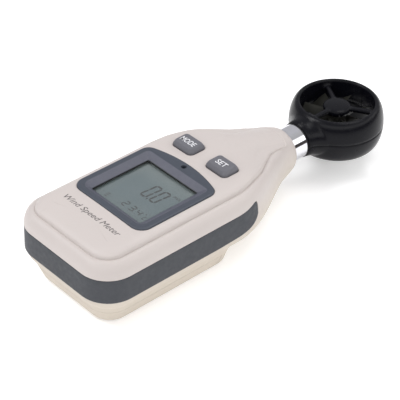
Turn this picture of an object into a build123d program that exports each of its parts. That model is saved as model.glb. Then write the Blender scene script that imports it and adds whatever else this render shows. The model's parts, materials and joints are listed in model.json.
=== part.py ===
"""Pocket vane anemometer: a hand-held case with a display and two keys, a slide-off battery
cover underneath, and a ducted vane head on a plated neck tube.

Millimetres. +Y runs from the base end of the case to the vane head, +Z is the display side.
The origin lies in the middle of the length, on the mid plane, at the resting face.
"""
from build123d import *
import math
import os

os.makedirs("parts", exist_ok=True)

# ---------------------------------------------------------------- driving dimensions
LENGTH = 105.0                      # base end of the bumper to the far side of the vane head
HALF_WIDTH = 17.3                   # case half width at the split line
BASE_Y = -52.35                     # base end of the case
BASE_CORNER = 7.9                   # plan radius of the two base corners
SHOULDER_Y = -10.0                  # where the straight sides end
NECK_HALF = 7.5                     # half width of the case beside the neck
NECK_START_Y = 14.0                 # where the double curve reaches the neck width
CASE_TIP_Y = 16.8                   # end of the case's flat sided part
COLLAR_END_Y = 20.6                 # end of the round collar on the neck tube
FIT = 0.1                           # gap between fitted pieces of the case

SPLIT_Z = 11.9                      # split line of the two case halves and axis of the neck
CHEEK_Z = 15.4                      # top of the upright side walls
BEAD_Z = 19.7                       # foot of the raised face panel
FACE_Z = 21.5                       # top of the face panel
SHOULDER_INSET = 2.6                # how far the shoulder leans in up to the panel
PANEL_GAP = 0.25                    # ledge between the shoulder and the panel
WALL_INSET = 2.7                    # outside to cavity, with the bumper's recess in between
UPPER_CAVITY_Z = 17.0
FACE_UNDERSIDE_Z = 19.3

BELLY_Z = 5.6                       # underside of the rear case beside the neck
BELLY_EDGE_Z = 8.1
HUMP_TOP_Z = 9.1                    # where the battery hump meets the bumper's lower edge
COVER_Z = 4.2                       # parting line of the battery cover
COVER_END_Y = -14.0                 # end of the battery cover towards the vane
HUMP_FOOT = (13.4, -48.4, -9.0, 4.7)     # half width, base end, vane end, corner radius
HUMP_ROOT = (16.9, -51.9, -5.5, 7.5)

BAND_LOW_Z = 9.13                   # bumper band
BAND_TOP_Z = 15.67
BAND_TIP_Y = -3.75
BAND_DEPTH = 1.2

TUBE_RADIUS = 4.57                  # neck tube
TUBE_WALL = 0.6
TUBE_START_Y = 7.4
TUBE_END_Y = 27.0
HEAD_Y = 40.1                       # axis of the vane
DUCT_RADIUS = 9.7
LIP_RADIUS = 10.17
HEAD_RADIUS = 12.4
HEAD_HALF_HEIGHT = 5.95
BOSS_END_Y = 25.2
BOSS_SECTIONS = (                   # distance from the boss end, half width, half height
    (0, 4.85, 4.85), (1.2, 4.95, 4.95), (2.6, 5.4, 5.2), (4.8, 7.0, 5.5))
SEAL_RADIUS = 4.75                  # black ring between the tube and the boss
SEAL_WIDTH = 0.5

BEZEL_HALF = 12.5                   # display bezel
BEZEL_LOW_Y = -37.6
BEZEL_SIDE_Y = -14.2
BEZEL_ARCH_Y = -11.55
BEZEL_FLOOR_Z = 20.3
VIEW_HALF = 8.8                     # opening of the bezel
VIEW_LOW_Y = -34.4
VIEW_TOP_Y = -16.8
BEVEL = 1.7

KEY_X = 6.0                         # keys
KEY_Y = -6.25
KEY_SIZE = (7.1, 5.4)
KEY_TOP_SIZE = (5.7, 4.0)
KEY_TOP_Z = 22.95
KEY_TRAVEL = 0.5
KEY_FLANGE_Z = 18.4

BOARD_Z = 13.4                      # main board
BOARD_THICKNESS = 1.2
BOARD_TOP_Z = BOARD_Z + BOARD_THICKNESS
BOARD_HALF = 13.2
BOARD_ENDS = (-43.5, 0.0)

CELL_Y = -30.0                      # coin cell, 20 mm across and 3.2 mm thick
CELL_RADIUS = 10.0
CELL_Z = 4.7
CELL_THICKNESS = 3.2
ROOF_Z = 8.4                        # roof of the battery well
ROOF_TOP_Z = 9.4
RAIL_X = 12.3                       # rails that the battery cover slides on
RAIL_ENDS = (-42.0, -18.0)

PORT_Y = -13.2                      # temperature port in the bezel
PORT_RADIUS = 0.7

BASE_SCREWS = ((-11.6, -46.6), (11.6, -46.6))
NECK_SCREWS = ((-7.4, 5.4), (7.4, 5.4))
BOARD_SCREWS = ((-11.6, -12.0), (11.6, -12.0), (-11.6, -40.5), (11.6, -40.5))

SPOKE_ANGLES = (-90, 30, 150)
SHAFT_RADIUS = 0.4
BLADES = 8
BLADE_RADIUS = 9.15
VANE_HUB_RADIUS = 2.6

neck_axis = Axis((0, 0, SPLIT_Z), (0, 1, 0))
head_axis = Axis((0, HEAD_Y, 0), (0, 0, 1))
head_section = Plane(origin=(0, HEAD_Y, SPLIT_Z), x_dir=(1, 0, 0), z_dir=(0, -1, 0))


# ---------------------------------------------------------------- helpers
def save(part, name):
    """Label a finished piece and write its STEP file."""
    part.label = name
    export_step(part, f"parts/{name}.step")


def case_outline(z, inset):
    """Plan of the case at height z, drawn in by inset: straight sides, two round base
    corners and a double curve down to the neck."""
    half = HALF_WIDTH - inset
    base_y = BASE_Y + inset
    corner = max(BASE_CORNER - inset, 1.5)
    neck = NECK_HALF - 0.25 * inset
    tip_y = CASE_TIP_Y - 0.4 * inset
    with BuildSketch(Plane.XY.offset(z)) as outline:
        with BuildLine():
            Line((0, base_y), (half - corner, base_y))
            RadiusArc((half - corner, base_y), (half, base_y + corner), -corner)
            Line((half, base_y + corner), (half, SHOULDER_Y))
            Bezier((half, SHOULDER_Y), (half, -1.0), (neck + 3.1, 6.5), (neck, NECK_START_Y))
            RadiusArc((neck, NECK_START_Y), (neck - 2.5, tip_y - 0.6), -4.4)
            Line((neck - 2.5, tip_y - 0.6), (0, tip_y))
            mirror(about=Plane.YZ)
        make_face()
    return outline.sketch


def rounded_box(plane_z, half, low_y, high_y, corner):
    """Plan of a rounded rectangle, symmetric about the mid plane."""
    with BuildSketch(Plane.XY.offset(plane_z)) as plan:
        with Locations((0, (low_y + high_y) / 2)):
            RectangleRounded(2 * half, high_y - low_y, corner)
    return plan.sketch


def block(x_range, y_range, z_range, mode=Mode.ADD):
    """Add or cut a box between two corners."""
    size = [high - low for low, high in (x_range, y_range, z_range)]
    middle = [(high + low) / 2 for low, high in (x_range, y_range, z_range)]
    with Locations(tuple(middle)):
        Box(*size, mode=mode)


def post(x, y, z_low, z_high, radius, mode=Mode.ADD):
    """Add or cut an upright cylinder."""
    with Locations((x, y, (z_low + z_high) / 2)):
        Cylinder(radius, z_high - z_low, mode=mode)


def neck_rod(y_low, y_high, radius, mode=Mode.ADD):
    """Add or cut a cylinder along the neck's axis."""
    with Locations((0, (y_low + y_high) / 2, SPLIT_Z)):
        Cylinder(radius, y_high - y_low, rotation=(90, 0, 0), mode=mode)


def screw(x, y, head_z, head_height, head_radius, shank_radius, length):
    """A cross-recessed screw that goes in upwards from head_z."""
    with BuildPart() as one:
        with BuildSketch(Plane.XY.offset(head_z)):
            with Locations((x, y)):
                Circle(head_radius)
        extrude(amount=head_height)
        with BuildSketch(Plane.XY.offset(head_z + head_height)):
            with Locations((x, y)):
                Circle(shank_radius)
        extrude(amount=length)
        with BuildSketch(Plane.XY.offset(head_z)):
            with Locations((x, y)):
                Rectangle(head_radius * 1.2, head_radius * 0.3)
                Rectangle(head_radius * 0.3, head_radius * 1.2)
        extrude(amount=head_height * 0.5, mode=Mode.SUBTRACT)
    return one.part


def shoulder_sections():
    """Plans that lean in along a quarter ellipse from the cheeks to the face panel."""
    steps = 5
    sections = []
    for step in range(steps + 1):
        rise = 0.94 * step / steps
        z = CHEEK_Z + (BEAD_Z - CHEEK_Z) * rise / 0.94
        inset = SHOULDER_INSET * (1 - math.sqrt(1 - rise**2)) / (1 - math.sqrt(1 - 0.94**2))
        sections.append(case_outline(z, inset))
    return sections


def belly_sections():
    """Plans of the rear case's rounded lower edge, from the underside up."""
    steps = 4
    sections = []
    for step in range(steps + 1):
        rise = step / steps
        z = BELLY_Z + (BELLY_EDGE_Z - BELLY_Z) * (1 - math.cos(rise * math.pi / 2))
        inset = 2.4 * (1 - math.sin(rise * math.pi / 2)) + 0.2
        sections.append(case_outline(z, inset))
    return sections


def collar_profile():
    """Half section of the round collar, in the YZ plane above the neck's axis."""
    with BuildSketch(Plane.YZ) as profile:
        with BuildLine():
            Polyline((11.0, SPLIT_Z), (11.0, SPLIT_Z + 7.1))
            Spline((11.0, SPLIT_Z + 7.1), (15.5, SPLIT_Z + 6.9), (18.4, SPLIT_Z + 6.3),
                   (COLLAR_END_Y, SPLIT_Z + 4.9))
            Polyline((COLLAR_END_Y, SPLIT_Z + 4.9), (COLLAR_END_Y, SPLIT_Z), (11.0, SPLIT_Z))
        make_face()
    return profile.sketch


def bumper_profile(gap):
    """Side view of the bumper band with its rounded tip, grown by gap."""
    low = BAND_LOW_Z - gap
    top = BAND_TOP_Z + gap
    tip = BAND_TIP_Y + gap
    with BuildSketch(Plane.YZ) as profile:
        with BuildLine():
            Line((-60, low), (-17, low))
            Spline((-17, low), (-10.5, low + 0.3), (-5.6, low + 1.05), (tip - 0.3, low + 2.4),
                   (tip, low + 4.1), (tip - 0.35, low + 6.2), (tip - 1.3, top + 1.0),
                   (-7.5, top + 0.55), (-13, top), tangents=[(1, 0), (-1, 0)])
            Line((-13, top), (-60, top))
            Line((-60, top), (-60, low))
        make_face()
    return profile.sketch


def bumper_ring(gap):
    """The U-shaped band round the base end and both sides."""
    with BuildPart() as ring:
        loft(sections=[case_outline(BAND_LOW_Z - 1, -0.15), case_outline(BAND_TOP_Z + 2, 0.0)])
        extrude(case_outline(BAND_LOW_Z - 1.5, BAND_DEPTH + gap), amount=10, mode=Mode.SUBTRACT)
        extrude(bumper_profile(gap), amount=20, both=True, mode=Mode.INTERSECT)
    return ring.part


def bezel_outline(plane_z, grow):
    """Plan of the display bezel: straight sides and base, arched towards the keys."""
    half = BEZEL_HALF + grow
    low = BEZEL_LOW_Y - grow
    side = BEZEL_SIDE_Y
    arch = BEZEL_ARCH_Y + grow
    with BuildSketch(Plane.XY.offset(plane_z)) as plan:
        with BuildLine():
            Polyline((0, low), (half, low), (half, side))
            ThreePointArc((half, side), (0, arch), (-half, side))
            Polyline((-half, side), (-half, low), (0, low))
        make_face()
        base_corners = plan.vertices().filter_by(lambda v: v.Y < low + 1 and abs(v.X) > 1)
        fillet(base_corners, 3.0)
        arch_corners = plan.vertices().filter_by(lambda v: abs(v.Y - side) < 0.01)
        fillet(arch_corners, 2.4)
    return plan.sketch


def key_cap(x):
    """One key: tapered cap, straight stem and the flange that keeps it in the case."""
    with BuildPart() as cap:
        with BuildSketch(Plane.XY.offset(KEY_FLANGE_Z)):
            with Locations((x, KEY_Y)):
                RectangleRounded(KEY_SIZE[0] + 1.4, KEY_SIZE[1] + 1.2, 1.2)
        extrude(amount=0.7)
        with BuildSketch(Plane.XY.offset(KEY_FLANGE_Z + 0.7)):
            with Locations((x, KEY_Y)):
                RectangleRounded(*KEY_SIZE, 1.3)
        extrude(amount=FACE_Z + 0.1 - KEY_FLANGE_Z - 0.7)
        with BuildSketch(Plane.XY.offset(FACE_Z + 0.1)) as foot:
            with Locations((x, KEY_Y)):
                RectangleRounded(*KEY_SIZE, 1.3)
        with BuildSketch(Plane.XY.offset(KEY_TOP_Z)) as top:
            with Locations((x, KEY_Y)):
                RectangleRounded(*KEY_TOP_SIZE, 1.0)
        loft()
        fillet(cap.faces().sort_by(Axis.Z)[-1].edges(), 0.3)
    return cap.part


def switch_plunger(x):
    """The pin of a tact switch, which the key pushes down."""
    with BuildPart() as pin:
        with BuildSketch(Plane.XY.offset(15.6)):
            with Locations((x, KEY_Y)):
                Circle(1.0)
        extrude(amount=KEY_FLANGE_Z - 15.6)
    return pin.part


def head_ring(upper):
    """Half of the vane head's ring: straight duct wall, round lip and barrelled outside."""
    sign = 1 if upper else -1
    top = HEAD_HALF_HEIGHT
    with BuildPart() as ring:
        with BuildSketch(head_section):
            with BuildLine():
                Line((DUCT_RADIUS, 0), (DUCT_RADIUS, sign * (top - 0.5)))
                ThreePointArc((DUCT_RADIUS, sign * (top - 0.5)), (DUCT_RADIUS + 0.14, sign * (top - 0.14)),
                              (LIP_RADIUS, sign * top))
                bulge = HEAD_RADIUS - LIP_RADIUS
                Spline(*[(LIP_RADIUS + bulge * math.sin(a), sign * top * math.cos(a))
                         for a in (0, math.pi / 8, math.pi / 4, 3 * math.pi / 8, math.pi / 2)],
                       tangents=[(1, 0), (0, -sign)])
                Line((HEAD_RADIUS, 0), (DUCT_RADIUS, 0))
            make_face()
        revolve(axis=head_axis)
    return ring.part


def head_guard(upper):
    """Three spokes and the hub that holds one bearing."""
    sign = 1 if upper else -1
    face = SPLIT_Z + sign * 4.85
    inner = SPLIT_Z + sign * 3.05
    with BuildPart() as guard:
        with BuildSketch(Plane.XY.offset(inner)):
            with Locations((0, HEAD_Y)):
                Circle(3.5)
        extrude(amount=sign * 1.8)
        fillet(guard.edges().filter_by(GeomType.CIRCLE).sort_by(Axis.Z)[-1 if upper else 0], 0.5)
        for angle in SPOKE_ANGLES:
            turned = Plane(origin=(0, HEAD_Y, face - sign * 1.25), z_dir=(0, 0, 1),
                           x_dir=(math.cos(math.radians(angle)), math.sin(math.radians(angle)), 0))
            with BuildSketch(turned):
                with Locations(((3.0 + LIP_RADIUS) / 2, 0)):
                    Rectangle(LIP_RADIUS - 3.0, 1.3)
                with Locations((LIP_RADIUS - 0.7, 0)):
                    Rectangle(1.4, 2.2)
            extrude(amount=sign * 1.15)
    return guard.part


def head_boss(upper):
    """Half of the boss that grips the neck tube and flares into the ring."""
    with BuildPart() as boss:
        for along, wide, high in BOSS_SECTIONS:
            with BuildSketch(Plane(origin=(0, BOSS_END_Y + along, SPLIT_Z), z_dir=(0, 1, 0))):
                Ellipse(wide, high)
        loft(ruled=True)
        keep = Keep.TOP if upper else Keep.BOTTOM
        split(bisect_by=Plane.XY.offset(SPLIT_Z), keep=keep)
    return boss.part


# ---------------------------------------------------------------- front case
with BuildPart() as front_case:
    extrude(case_outline(SPLIT_Z, 0), amount=CHEEK_Z - SPLIT_Z)
    loft(sections=shoulder_sections())
    extrude(case_outline(BEAD_Z - 0.4, SHOULDER_INSET + PANEL_GAP), amount=FACE_Z - BEAD_Z + 0.4)
    fillet(front_case.faces().sort_by(Axis.Z)[-1].edges(), 1.3)
    # the face falls away towards the neck
    with BuildSketch(Plane.YZ):
        with BuildLine():
            Spline((-4, FACE_Z), (4, FACE_Z - 0.35), (10, FACE_Z - 1.35), (14, FACE_Z - 2.4),
                   (18, FACE_Z - 3.6), tangents=[(1, 0), (1, -0.32)])
            Polyline((18, FACE_Z - 3.6), (18, FACE_Z + 3), (-4, FACE_Z + 3), (-4, FACE_Z))
        make_face()
    extrude(amount=HALF_WIDTH + 2, both=True, mode=Mode.SUBTRACT)
    revolve(collar_profile(), axis=neck_axis)
    split(bisect_by=Plane.XY.offset(SPLIT_Z), keep=Keep.TOP)
    # cavities: a wide one for the board, a narrower one under the face
    with BuildSketch(Plane.XY.offset(SPLIT_Z)):
        add(case_outline(0, WALL_INSET))
        with Locations((0, 7.0 + 10)):
            Rectangle(40, 20, mode=Mode.SUBTRACT)
    extrude(amount=UPPER_CAVITY_Z - SPLIT_Z, mode=Mode.SUBTRACT)
    extrude(rounded_box(UPPER_CAVITY_Z, 12.6, -47.0, -1.2, 3.0),
            amount=FACE_UNDERSIDE_Z - UPPER_CAVITY_Z, mode=Mode.SUBTRACT)
    # bosses for the case and board screws
    for x, y in BASE_SCREWS + NECK_SCREWS:
        post(x, y, SPLIT_Z, UPPER_CAVITY_Z + 0.6, 2.2)
    for x, y in BOARD_SCREWS:
        post(x, y, BOARD_TOP_Z, FACE_UNDERSIDE_Z + 0.2, 1.5)
    for x, y in BASE_SCREWS + NECK_SCREWS:
        post(x, y, SPLIT_Z, 16.2, 1.0, mode=Mode.SUBTRACT)
    for x, y in BOARD_SCREWS:
        post(x, y, BOARD_TOP_Z, 17.6, 0.7, mode=Mode.SUBTRACT)
    # seats of the bezel, the window, the keys and the temperature port
    extrude(bezel_outline(BEZEL_FLOOR_Z, FIT), amount=3, mode=Mode.SUBTRACT)
    extrude(rounded_box(FACE_UNDERSIDE_Z, 10.3, -36.2, -15.4, 0.6), amount=2, mode=Mode.SUBTRACT)
    with BuildSketch(Plane.XY.offset(FACE_UNDERSIDE_Z)):
        with Locations((-KEY_X, KEY_Y), (KEY_X, KEY_Y)):
            RectangleRounded(KEY_SIZE[0] + 0.3, KEY_SIZE[1] + 0.3, 1.45)
        with Locations((0, PORT_Y)):
            Circle(PORT_RADIUS)
    extrude(amount=4, mode=Mode.SUBTRACT)
    # neck bore, pocket of the tube's flange, bumper recess
    neck_rod(6.0, 22.0, TUBE_RADIUS, mode=Mode.SUBTRACT)
    neck_rod(6.0, 9.2, 5.5, mode=Mode.SUBTRACT)
    add(bumper_ring(FIT), mode=Mode.SUBTRACT)

# ---------------------------------------------------------------- rear case with battery well
with BuildPart() as rear_case:
    extrude(case_outline(BELLY_EDGE_Z, 0.2), amount=SPLIT_Z - BELLY_EDGE_Z)
    loft(sections=belly_sections())
    loft(sections=[rounded_box(0, *HUMP_FOOT), rounded_box(HUMP_TOP_Z, *HUMP_ROOT)])
    revolve(collar_profile(), axis=neck_axis)
    split(bisect_by=Plane.XY.offset(SPLIT_Z), keep=Keep.BOTTOM)
    # room for the battery cover
    block((-20, 20), (-60, COVER_END_Y), (-1, COVER_Z), mode=Mode.SUBTRACT)
    # electronics cavity above the roof of the battery well, deeper beside it
    with BuildSketch(Plane.XY.offset(ROOF_TOP_Z)):
        add(case_outline(0, WALL_INSET))
        with Locations((0, 7.0 + 10)):
            Rectangle(40, 20, mode=Mode.SUBTRACT)
    extrude(amount=SPLIT_Z - ROOF_TOP_Z, mode=Mode.SUBTRACT)
    extrude(rounded_box(7.2, 9.0, -12.0, 1.5, 2.0), amount=3, mode=Mode.SUBTRACT)
    for x, y in BASE_SCREWS + NECK_SCREWS:
        post(x, y, 7.4, SPLIT_Z, 2.2)
    for x, y in BASE_SCREWS:
        post(x, y, COVER_Z, 6.4, 2.0, mode=Mode.SUBTRACT)
        post(x, y, COVER_Z, SPLIT_Z, 1.05, mode=Mode.SUBTRACT)
    for x, y in NECK_SCREWS:
        post(x, y, BELLY_Z - 1, 7.4, 1.75, mode=Mode.SUBTRACT)
        post(x, y, BELLY_Z - 1, SPLIT_Z, 1.05, mode=Mode.SUBTRACT)
    # battery well and the slots of its two contacts
    post(0, CELL_Y, COVER_Z, ROOF_Z, 11.3, mode=Mode.SUBTRACT)
    block((-1.2, 1.2), (CELL_Y - 0.5, CELL_Y + 0.5), (ROOF_Z - 0.5, SPLIT_Z), mode=Mode.SUBTRACT)
    block((-1.7, 1.7), (-19.9, -19.0), (COVER_Z, SPLIT_Z), mode=Mode.SUBTRACT)
    # rails of the battery cover
    for side in (-1, 1):
        block((side * RAIL_X - 0.5, side * RAIL_X + 0.5), RAIL_ENDS, (2.4, COVER_Z))
        block((side * RAIL_X - 0.9, side * RAIL_X + 0.9), RAIL_ENDS, (2.4, 3.1))
    neck_rod(6.0, 22.0, TUBE_RADIUS, mode=Mode.SUBTRACT)
    neck_rod(6.0, 9.2, 5.5, mode=Mode.SUBTRACT)
    add(bumper_ring(FIT), mode=Mode.SUBTRACT)

# ---------------------------------------------------------------- battery cover
with BuildPart() as battery_cover:
    loft(sections=[rounded_box(0, *HUMP_FOOT), rounded_box(HUMP_TOP_Z, *HUMP_ROOT)])
    block((-20, 20), (-60, 0), (COVER_Z - 0.05, 20), mode=Mode.SUBTRACT)
    block((-20, 20), (COVER_END_Y - FIT, 0), (-1, 20), mode=Mode.SUBTRACT)
    extrude(rounded_box(1.5, 10.4, -46.5, -16.0, 3.0), amount=5, mode=Mode.SUBTRACT)
    for side in (-1, 1):
        slot_ends = (RAIL_ENDS[0] - 0.2, 0)
        block((side * RAIL_X - 0.7, side * RAIL_X + 0.7), slot_ends, (2.2, 6), mode=Mode.SUBTRACT)
        block((side * RAIL_X - 1.1, side * RAIL_X + 1.1), slot_ends, (2.2, 3.3), mode=Mode.SUBTRACT)
    # thumb grip
    for rib in range(5):
        y = -45.0 + 1.6 * rib
        block((-5, 5), (y - 0.35, y + 0.35), (-1, 0.4), mode=Mode.SUBTRACT)

# ---------------------------------------------------------------- bumper band
side_bumper = bumper_ring(0)

# ---------------------------------------------------------------- display
with BuildPart() as display_bezel:
    extrude(bezel_outline(BEZEL_FLOOR_Z, 0), amount=FACE_Z + 0.05 - BEZEL_FLOOR_Z)
    extrude(rounded_box(BEZEL_FLOOR_Z, VIEW_HALF, VIEW_LOW_Y, VIEW_TOP_Y, 1.2), amount=3,
            mode=Mode.SUBTRACT)
    loft(sections=[rounded_box(BEZEL_FLOOR_Z + 0.4, VIEW_HALF, VIEW_LOW_Y, VIEW_TOP_Y, 1.2),
                   rounded_box(FACE_Z + 0.3, VIEW_HALF + BEVEL + 0.3, VIEW_LOW_Y - BEVEL - 0.1,
                               VIEW_TOP_Y + BEVEL + 0.1, 2.6)], mode=Mode.SUBTRACT)
    post(0, PORT_Y, BEZEL_FLOOR_Z, FACE_Z + 1, PORT_RADIUS, mode=Mode.SUBTRACT)

with BuildPart() as display_window:
    extrude(rounded_box(FACE_UNDERSIDE_Z, 10.2, -36.1, -15.5, 0.5),
            amount=BEZEL_FLOOR_Z - FACE_UNDERSIDE_Z - 0.02)

with BuildPart() as display_gasket:
    extrude(rounded_box(18.8, 10.4, -36.2, -15.6, 0.5), amount=0.5)
    extrude(rounded_box(18.8, 9.3, -34.9, -16.6, 0.5), amount=0.5, mode=Mode.SUBTRACT)

with BuildPart() as lcd_glass:
    extrude(rounded_box(17.0, 10.4, -36.2, -15.6, 0.2), amount=1.8)

with BuildPart() as lcd_holder:
    extrude(rounded_box(BOARD_TOP_Z, 11.2, -37.0, -14.8, 0.8), amount=17.0 - BOARD_TOP_Z)
    extrude(rounded_box(BOARD_TOP_Z, 9.6, -32.6, -19.2, 0.8), amount=17.0 - BOARD_TOP_Z - 0.6,
            mode=Mode.SUBTRACT)
    for y in (-34.6, -17.2):
        block((-10, 10), (y - 0.9, y + 0.9), (BOARD_TOP_Z, 17.0), mode=Mode.SUBTRACT)

with BuildPart() as zebra_strips:
    for y in (-34.6, -17.2):
        block((-9.8, 9.8), (y - 0.8, y + 0.8), (BOARD_TOP_Z, 17.0))

# ---------------------------------------------------------------- electronics
with BuildPart() as main_board:
    extrude(rounded_box(BOARD_Z, BOARD_HALF, *BOARD_ENDS, 3.6), amount=BOARD_THICKNESS)
    for x, y in BOARD_SCREWS:
        post(x, y, BOARD_Z, BOARD_TOP_Z, 0.75, mode=Mode.SUBTRACT)

with BuildPart() as board_components:
    block((-3.5, 3.5), (-10.5, -3.5), (BOARD_Z - 1.2, BOARD_Z))          # controller
    block((-8.5, -5.5), (-6.5, -4.9), (BOARD_Z - 0.8, BOARD_Z))          # amplifier
    block((5.5, 10.5), (-8.0, -6.4), (BOARD_Z - 1.4, BOARD_Z))           # crystal
    for step in range(4):
        block((-7.0 + 4 * step, -5.4 + 4 * step), (-3.2, -2.4), (BOARD_Z - 0.6, BOARD_Z))
    post(-8.0, -40.0, BOARD_TOP_Z, BOARD_TOP_Z + 2.2, 1.5)               # capacitor
    block((2.0, 6.0), (-42.0, -38.4), (BOARD_TOP_Z, BOARD_TOP_Z + 1.2))  # regulator

with BuildPart() as tact_switches:
    for x in (-KEY_X, KEY_X):
        block((x - 2.6, x + 2.6), (KEY_Y - 2.6, KEY_Y + 2.6), (BOARD_TOP_Z, 17.4))
        post(x, KEY_Y, 14.9, 17.4, 1.08, mode=Mode.SUBTRACT)

mode_button = key_cap(-KEY_X)
set_button = key_cap(KEY_X)
mode_switch_pin = switch_plunger(-KEY_X)
set_switch_pin = switch_plunger(KEY_X)

with BuildPart() as temperature_sensor:
    with Locations((0, PORT_Y, 18.95)):
        Sphere(0.6)
    for x in (-0.3, 0.3):
        post(x, PORT_Y, BOARD_TOP_Z, 18.7, 0.2)

# ---------------------------------------------------------------- battery
with BuildPart() as battery_cell:
    with BuildSketch(Plane.XY.offset(CELL_Z + 0.7)):
        with Locations((0, CELL_Y)):
            Circle(CELL_RADIUS)
    extrude(amount=CELL_THICKNESS - 0.7)
    with BuildSketch(Plane.XY.offset(CELL_Z)):
        with Locations((0, CELL_Y)):
            Circle(CELL_RADIUS - 1.2)
    extrude(amount=0.7)
    fillet(battery_cell.edges().filter_by(GeomType.CIRCLE).sort_by(Axis.Z)[-1], 0.3)

with BuildPart() as battery_holder:
    with BuildSketch(Plane.XY.offset(CELL_Z)):
        with Locations((0, CELL_Y)):
            Circle(11.25)
            Circle(10.1, mode=Mode.SUBTRACT)
        with Locations((0, CELL_Y + 11)):
            Rectangle(3.6, 4, mode=Mode.SUBTRACT)
    extrude(amount=ROOF_Z - CELL_Z)

with BuildPart() as battery_contact_negative:
    block((-4, 4), (CELL_Y - 1.5, CELL_Y + 1.5), (7.92, 8.3))
    block((-1.0, 1.0), (CELL_Y - 0.2, CELL_Y + 0.2), (8.3, BOARD_Z))

with BuildPart() as battery_contact_positive:
    block((-1.5, 1.5), (-19.85, -19.45), (4.9, BOARD_Z))

with BuildPart() as battery_pad:
    post(0, CELL_Y, 1.5, COVER_Z - 0.15, 6.5)

# ---------------------------------------------------------------- screws
with BuildPart() as case_screws:
    for x, y in BASE_SCREWS:
        add(screw(x, y, 5.0, 1.4, 1.8, 1.0, 9.4))
    for x, y in NECK_SCREWS:
        add(screw(x, y, 6.1, 1.3, 1.7, 1.0, 8.4))

with BuildPart() as board_screws:
    for x, y in BOARD_SCREWS:
        add(screw(x, y, BOARD_Z - 0.9, 0.9, 1.3, 0.7, 4.0))

# ---------------------------------------------------------------- neck
with BuildPart() as neck_tube:
    neck_rod(TUBE_START_Y, TUBE_END_Y, TUBE_RADIUS)
    neck_rod(TUBE_START_Y, TUBE_END_Y, TUBE_RADIUS - TUBE_WALL, mode=Mode.SUBTRACT)

with BuildPart() as neck_lock_ring:
    neck_rod(7.8, 9.1, 5.4)
    neck_rod(7.8, 9.1, TUBE_RADIUS, mode=Mode.SUBTRACT)

with BuildPart() as neck_seal:
    neck_rod(BOSS_END_Y - SEAL_WIDTH, BOSS_END_Y, SEAL_RADIUS)
    neck_rod(BOSS_END_Y - SEAL_WIDTH, BOSS_END_Y, TUBE_RADIUS, mode=Mode.SUBTRACT)

# ---------------------------------------------------------------- vane head
HEAD_SCREW_SPOTS = [(10.75 * math.cos(math.radians(a)), HEAD_Y + 10.75 * math.sin(math.radians(a)))
                    for a in (-30, 90, 210)]
SENSOR_POCKET = ((-3.4, 3.4), (26.5, 29.4), (8.8, 15.0))

with BuildPart() as upper_boss:
    add(head_boss(True))
    post(0, HEAD_Y, 0, 30, DUCT_RADIUS + 0.6, mode=Mode.SUBTRACT)

with BuildPart() as lower_boss:
    add(head_boss(False))
    post(0, HEAD_Y, 0, 30, DUCT_RADIUS + 0.6, mode=Mode.SUBTRACT)

with BuildPart() as head_upper_shell:
    add(head_ring(True))
    add(upper_boss.part)
    add(head_guard(True))
    post(0, HEAD_Y, SPLIT_Z + 3.05, SPLIT_Z + 4.35, 1.3, mode=Mode.SUBTRACT)
    neck_rod(BOSS_END_Y - 1, TUBE_END_Y + 0.1, TUBE_RADIUS, mode=Mode.SUBTRACT)
    block(*SENSOR_POCKET, mode=Mode.SUBTRACT)
    for x, y in HEAD_SCREW_SPOTS:
        post(x, y, SPLIT_Z, SPLIT_Z + 3.0, 0.5, mode=Mode.SUBTRACT)

with BuildPart() as head_lower_shell:
    add(head_ring(False))
    add(lower_boss.part)
    add(head_guard(False))
    post(0, HEAD_Y, SPLIT_Z - 4.35, SPLIT_Z - 3.05, 1.3, mode=Mode.SUBTRACT)
    neck_rod(BOSS_END_Y - 1, TUBE_END_Y + 0.1, TUBE_RADIUS, mode=Mode.SUBTRACT)
    block(*SENSOR_POCKET, mode=Mode.SUBTRACT)
    for x, y in HEAD_SCREW_SPOTS:
        post(x, y, SPLIT_Z - 3.0, SPLIT_Z, 0.5, mode=Mode.SUBTRACT)
        post(x, y, 0, SPLIT_Z - 3.0, 0.85, mode=Mode.SUBTRACT)

with BuildPart() as head_screws:
    for x, y in HEAD_SCREW_SPOTS:
        add(screw(x, y, SPLIT_Z - 3.7, 0.7, 0.8, 0.5, 5.6))

with BuildPart() as upper_bearing:
    post(0, HEAD_Y, SPLIT_Z + 3.05, SPLIT_Z + 4.35, 1.3)
    post(0, HEAD_Y, SPLIT_Z + 3.05, SPLIT_Z + 4.1, SHAFT_RADIUS + 0.06, mode=Mode.SUBTRACT)

with BuildPart() as lower_bearing:
    post(0, HEAD_Y, SPLIT_Z - 4.35, SPLIT_Z - 3.05, 1.3)
    post(0, HEAD_Y, SPLIT_Z - 4.1, SPLIT_Z - 3.05, SHAFT_RADIUS + 0.06, mode=Mode.SUBTRACT)

# ---------------------------------------------------------------- impeller
with BuildPart() as impeller:
    with BuildSketch(Plane.XY.offset(SPLIT_Z - 2.75)):
        with Locations((0, HEAD_Y)):
            Circle(VANE_HUB_RADIUS)
    extrude(amount=5.5)
    fillet(impeller.edges().filter_by(GeomType.CIRCLE), 0.4)
    for number in range(BLADES):
        sections = []
        for level in range(5):
            turn = math.radians(number * 360 / BLADES + 22.5 + 22 - 11 * level)
            plane = Plane(origin=(0, HEAD_Y, SPLIT_Z - 2.4 + 1.2 * level), z_dir=(0, 0, 1),
                          x_dir=(math.cos(turn), math.sin(turn), 0))
            with BuildSketch(plane, mode=Mode.PRIVATE) as section:
                with Locations(((2.2 + BLADE_RADIUS) / 2, 0)):
                    Rectangle(BLADE_RADIUS - 2.2, 0.6)
            sections.append(section.sketch)
        loft(sections=sections)
    post(0, HEAD_Y, SPLIT_Z - 2.3, SPLIT_Z - 0.9, 1.8, mode=Mode.SUBTRACT)
    post(0, HEAD_Y, SPLIT_Z - 3.0, SPLIT_Z + 3.0, SHAFT_RADIUS, mode=Mode.SUBTRACT)

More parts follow.
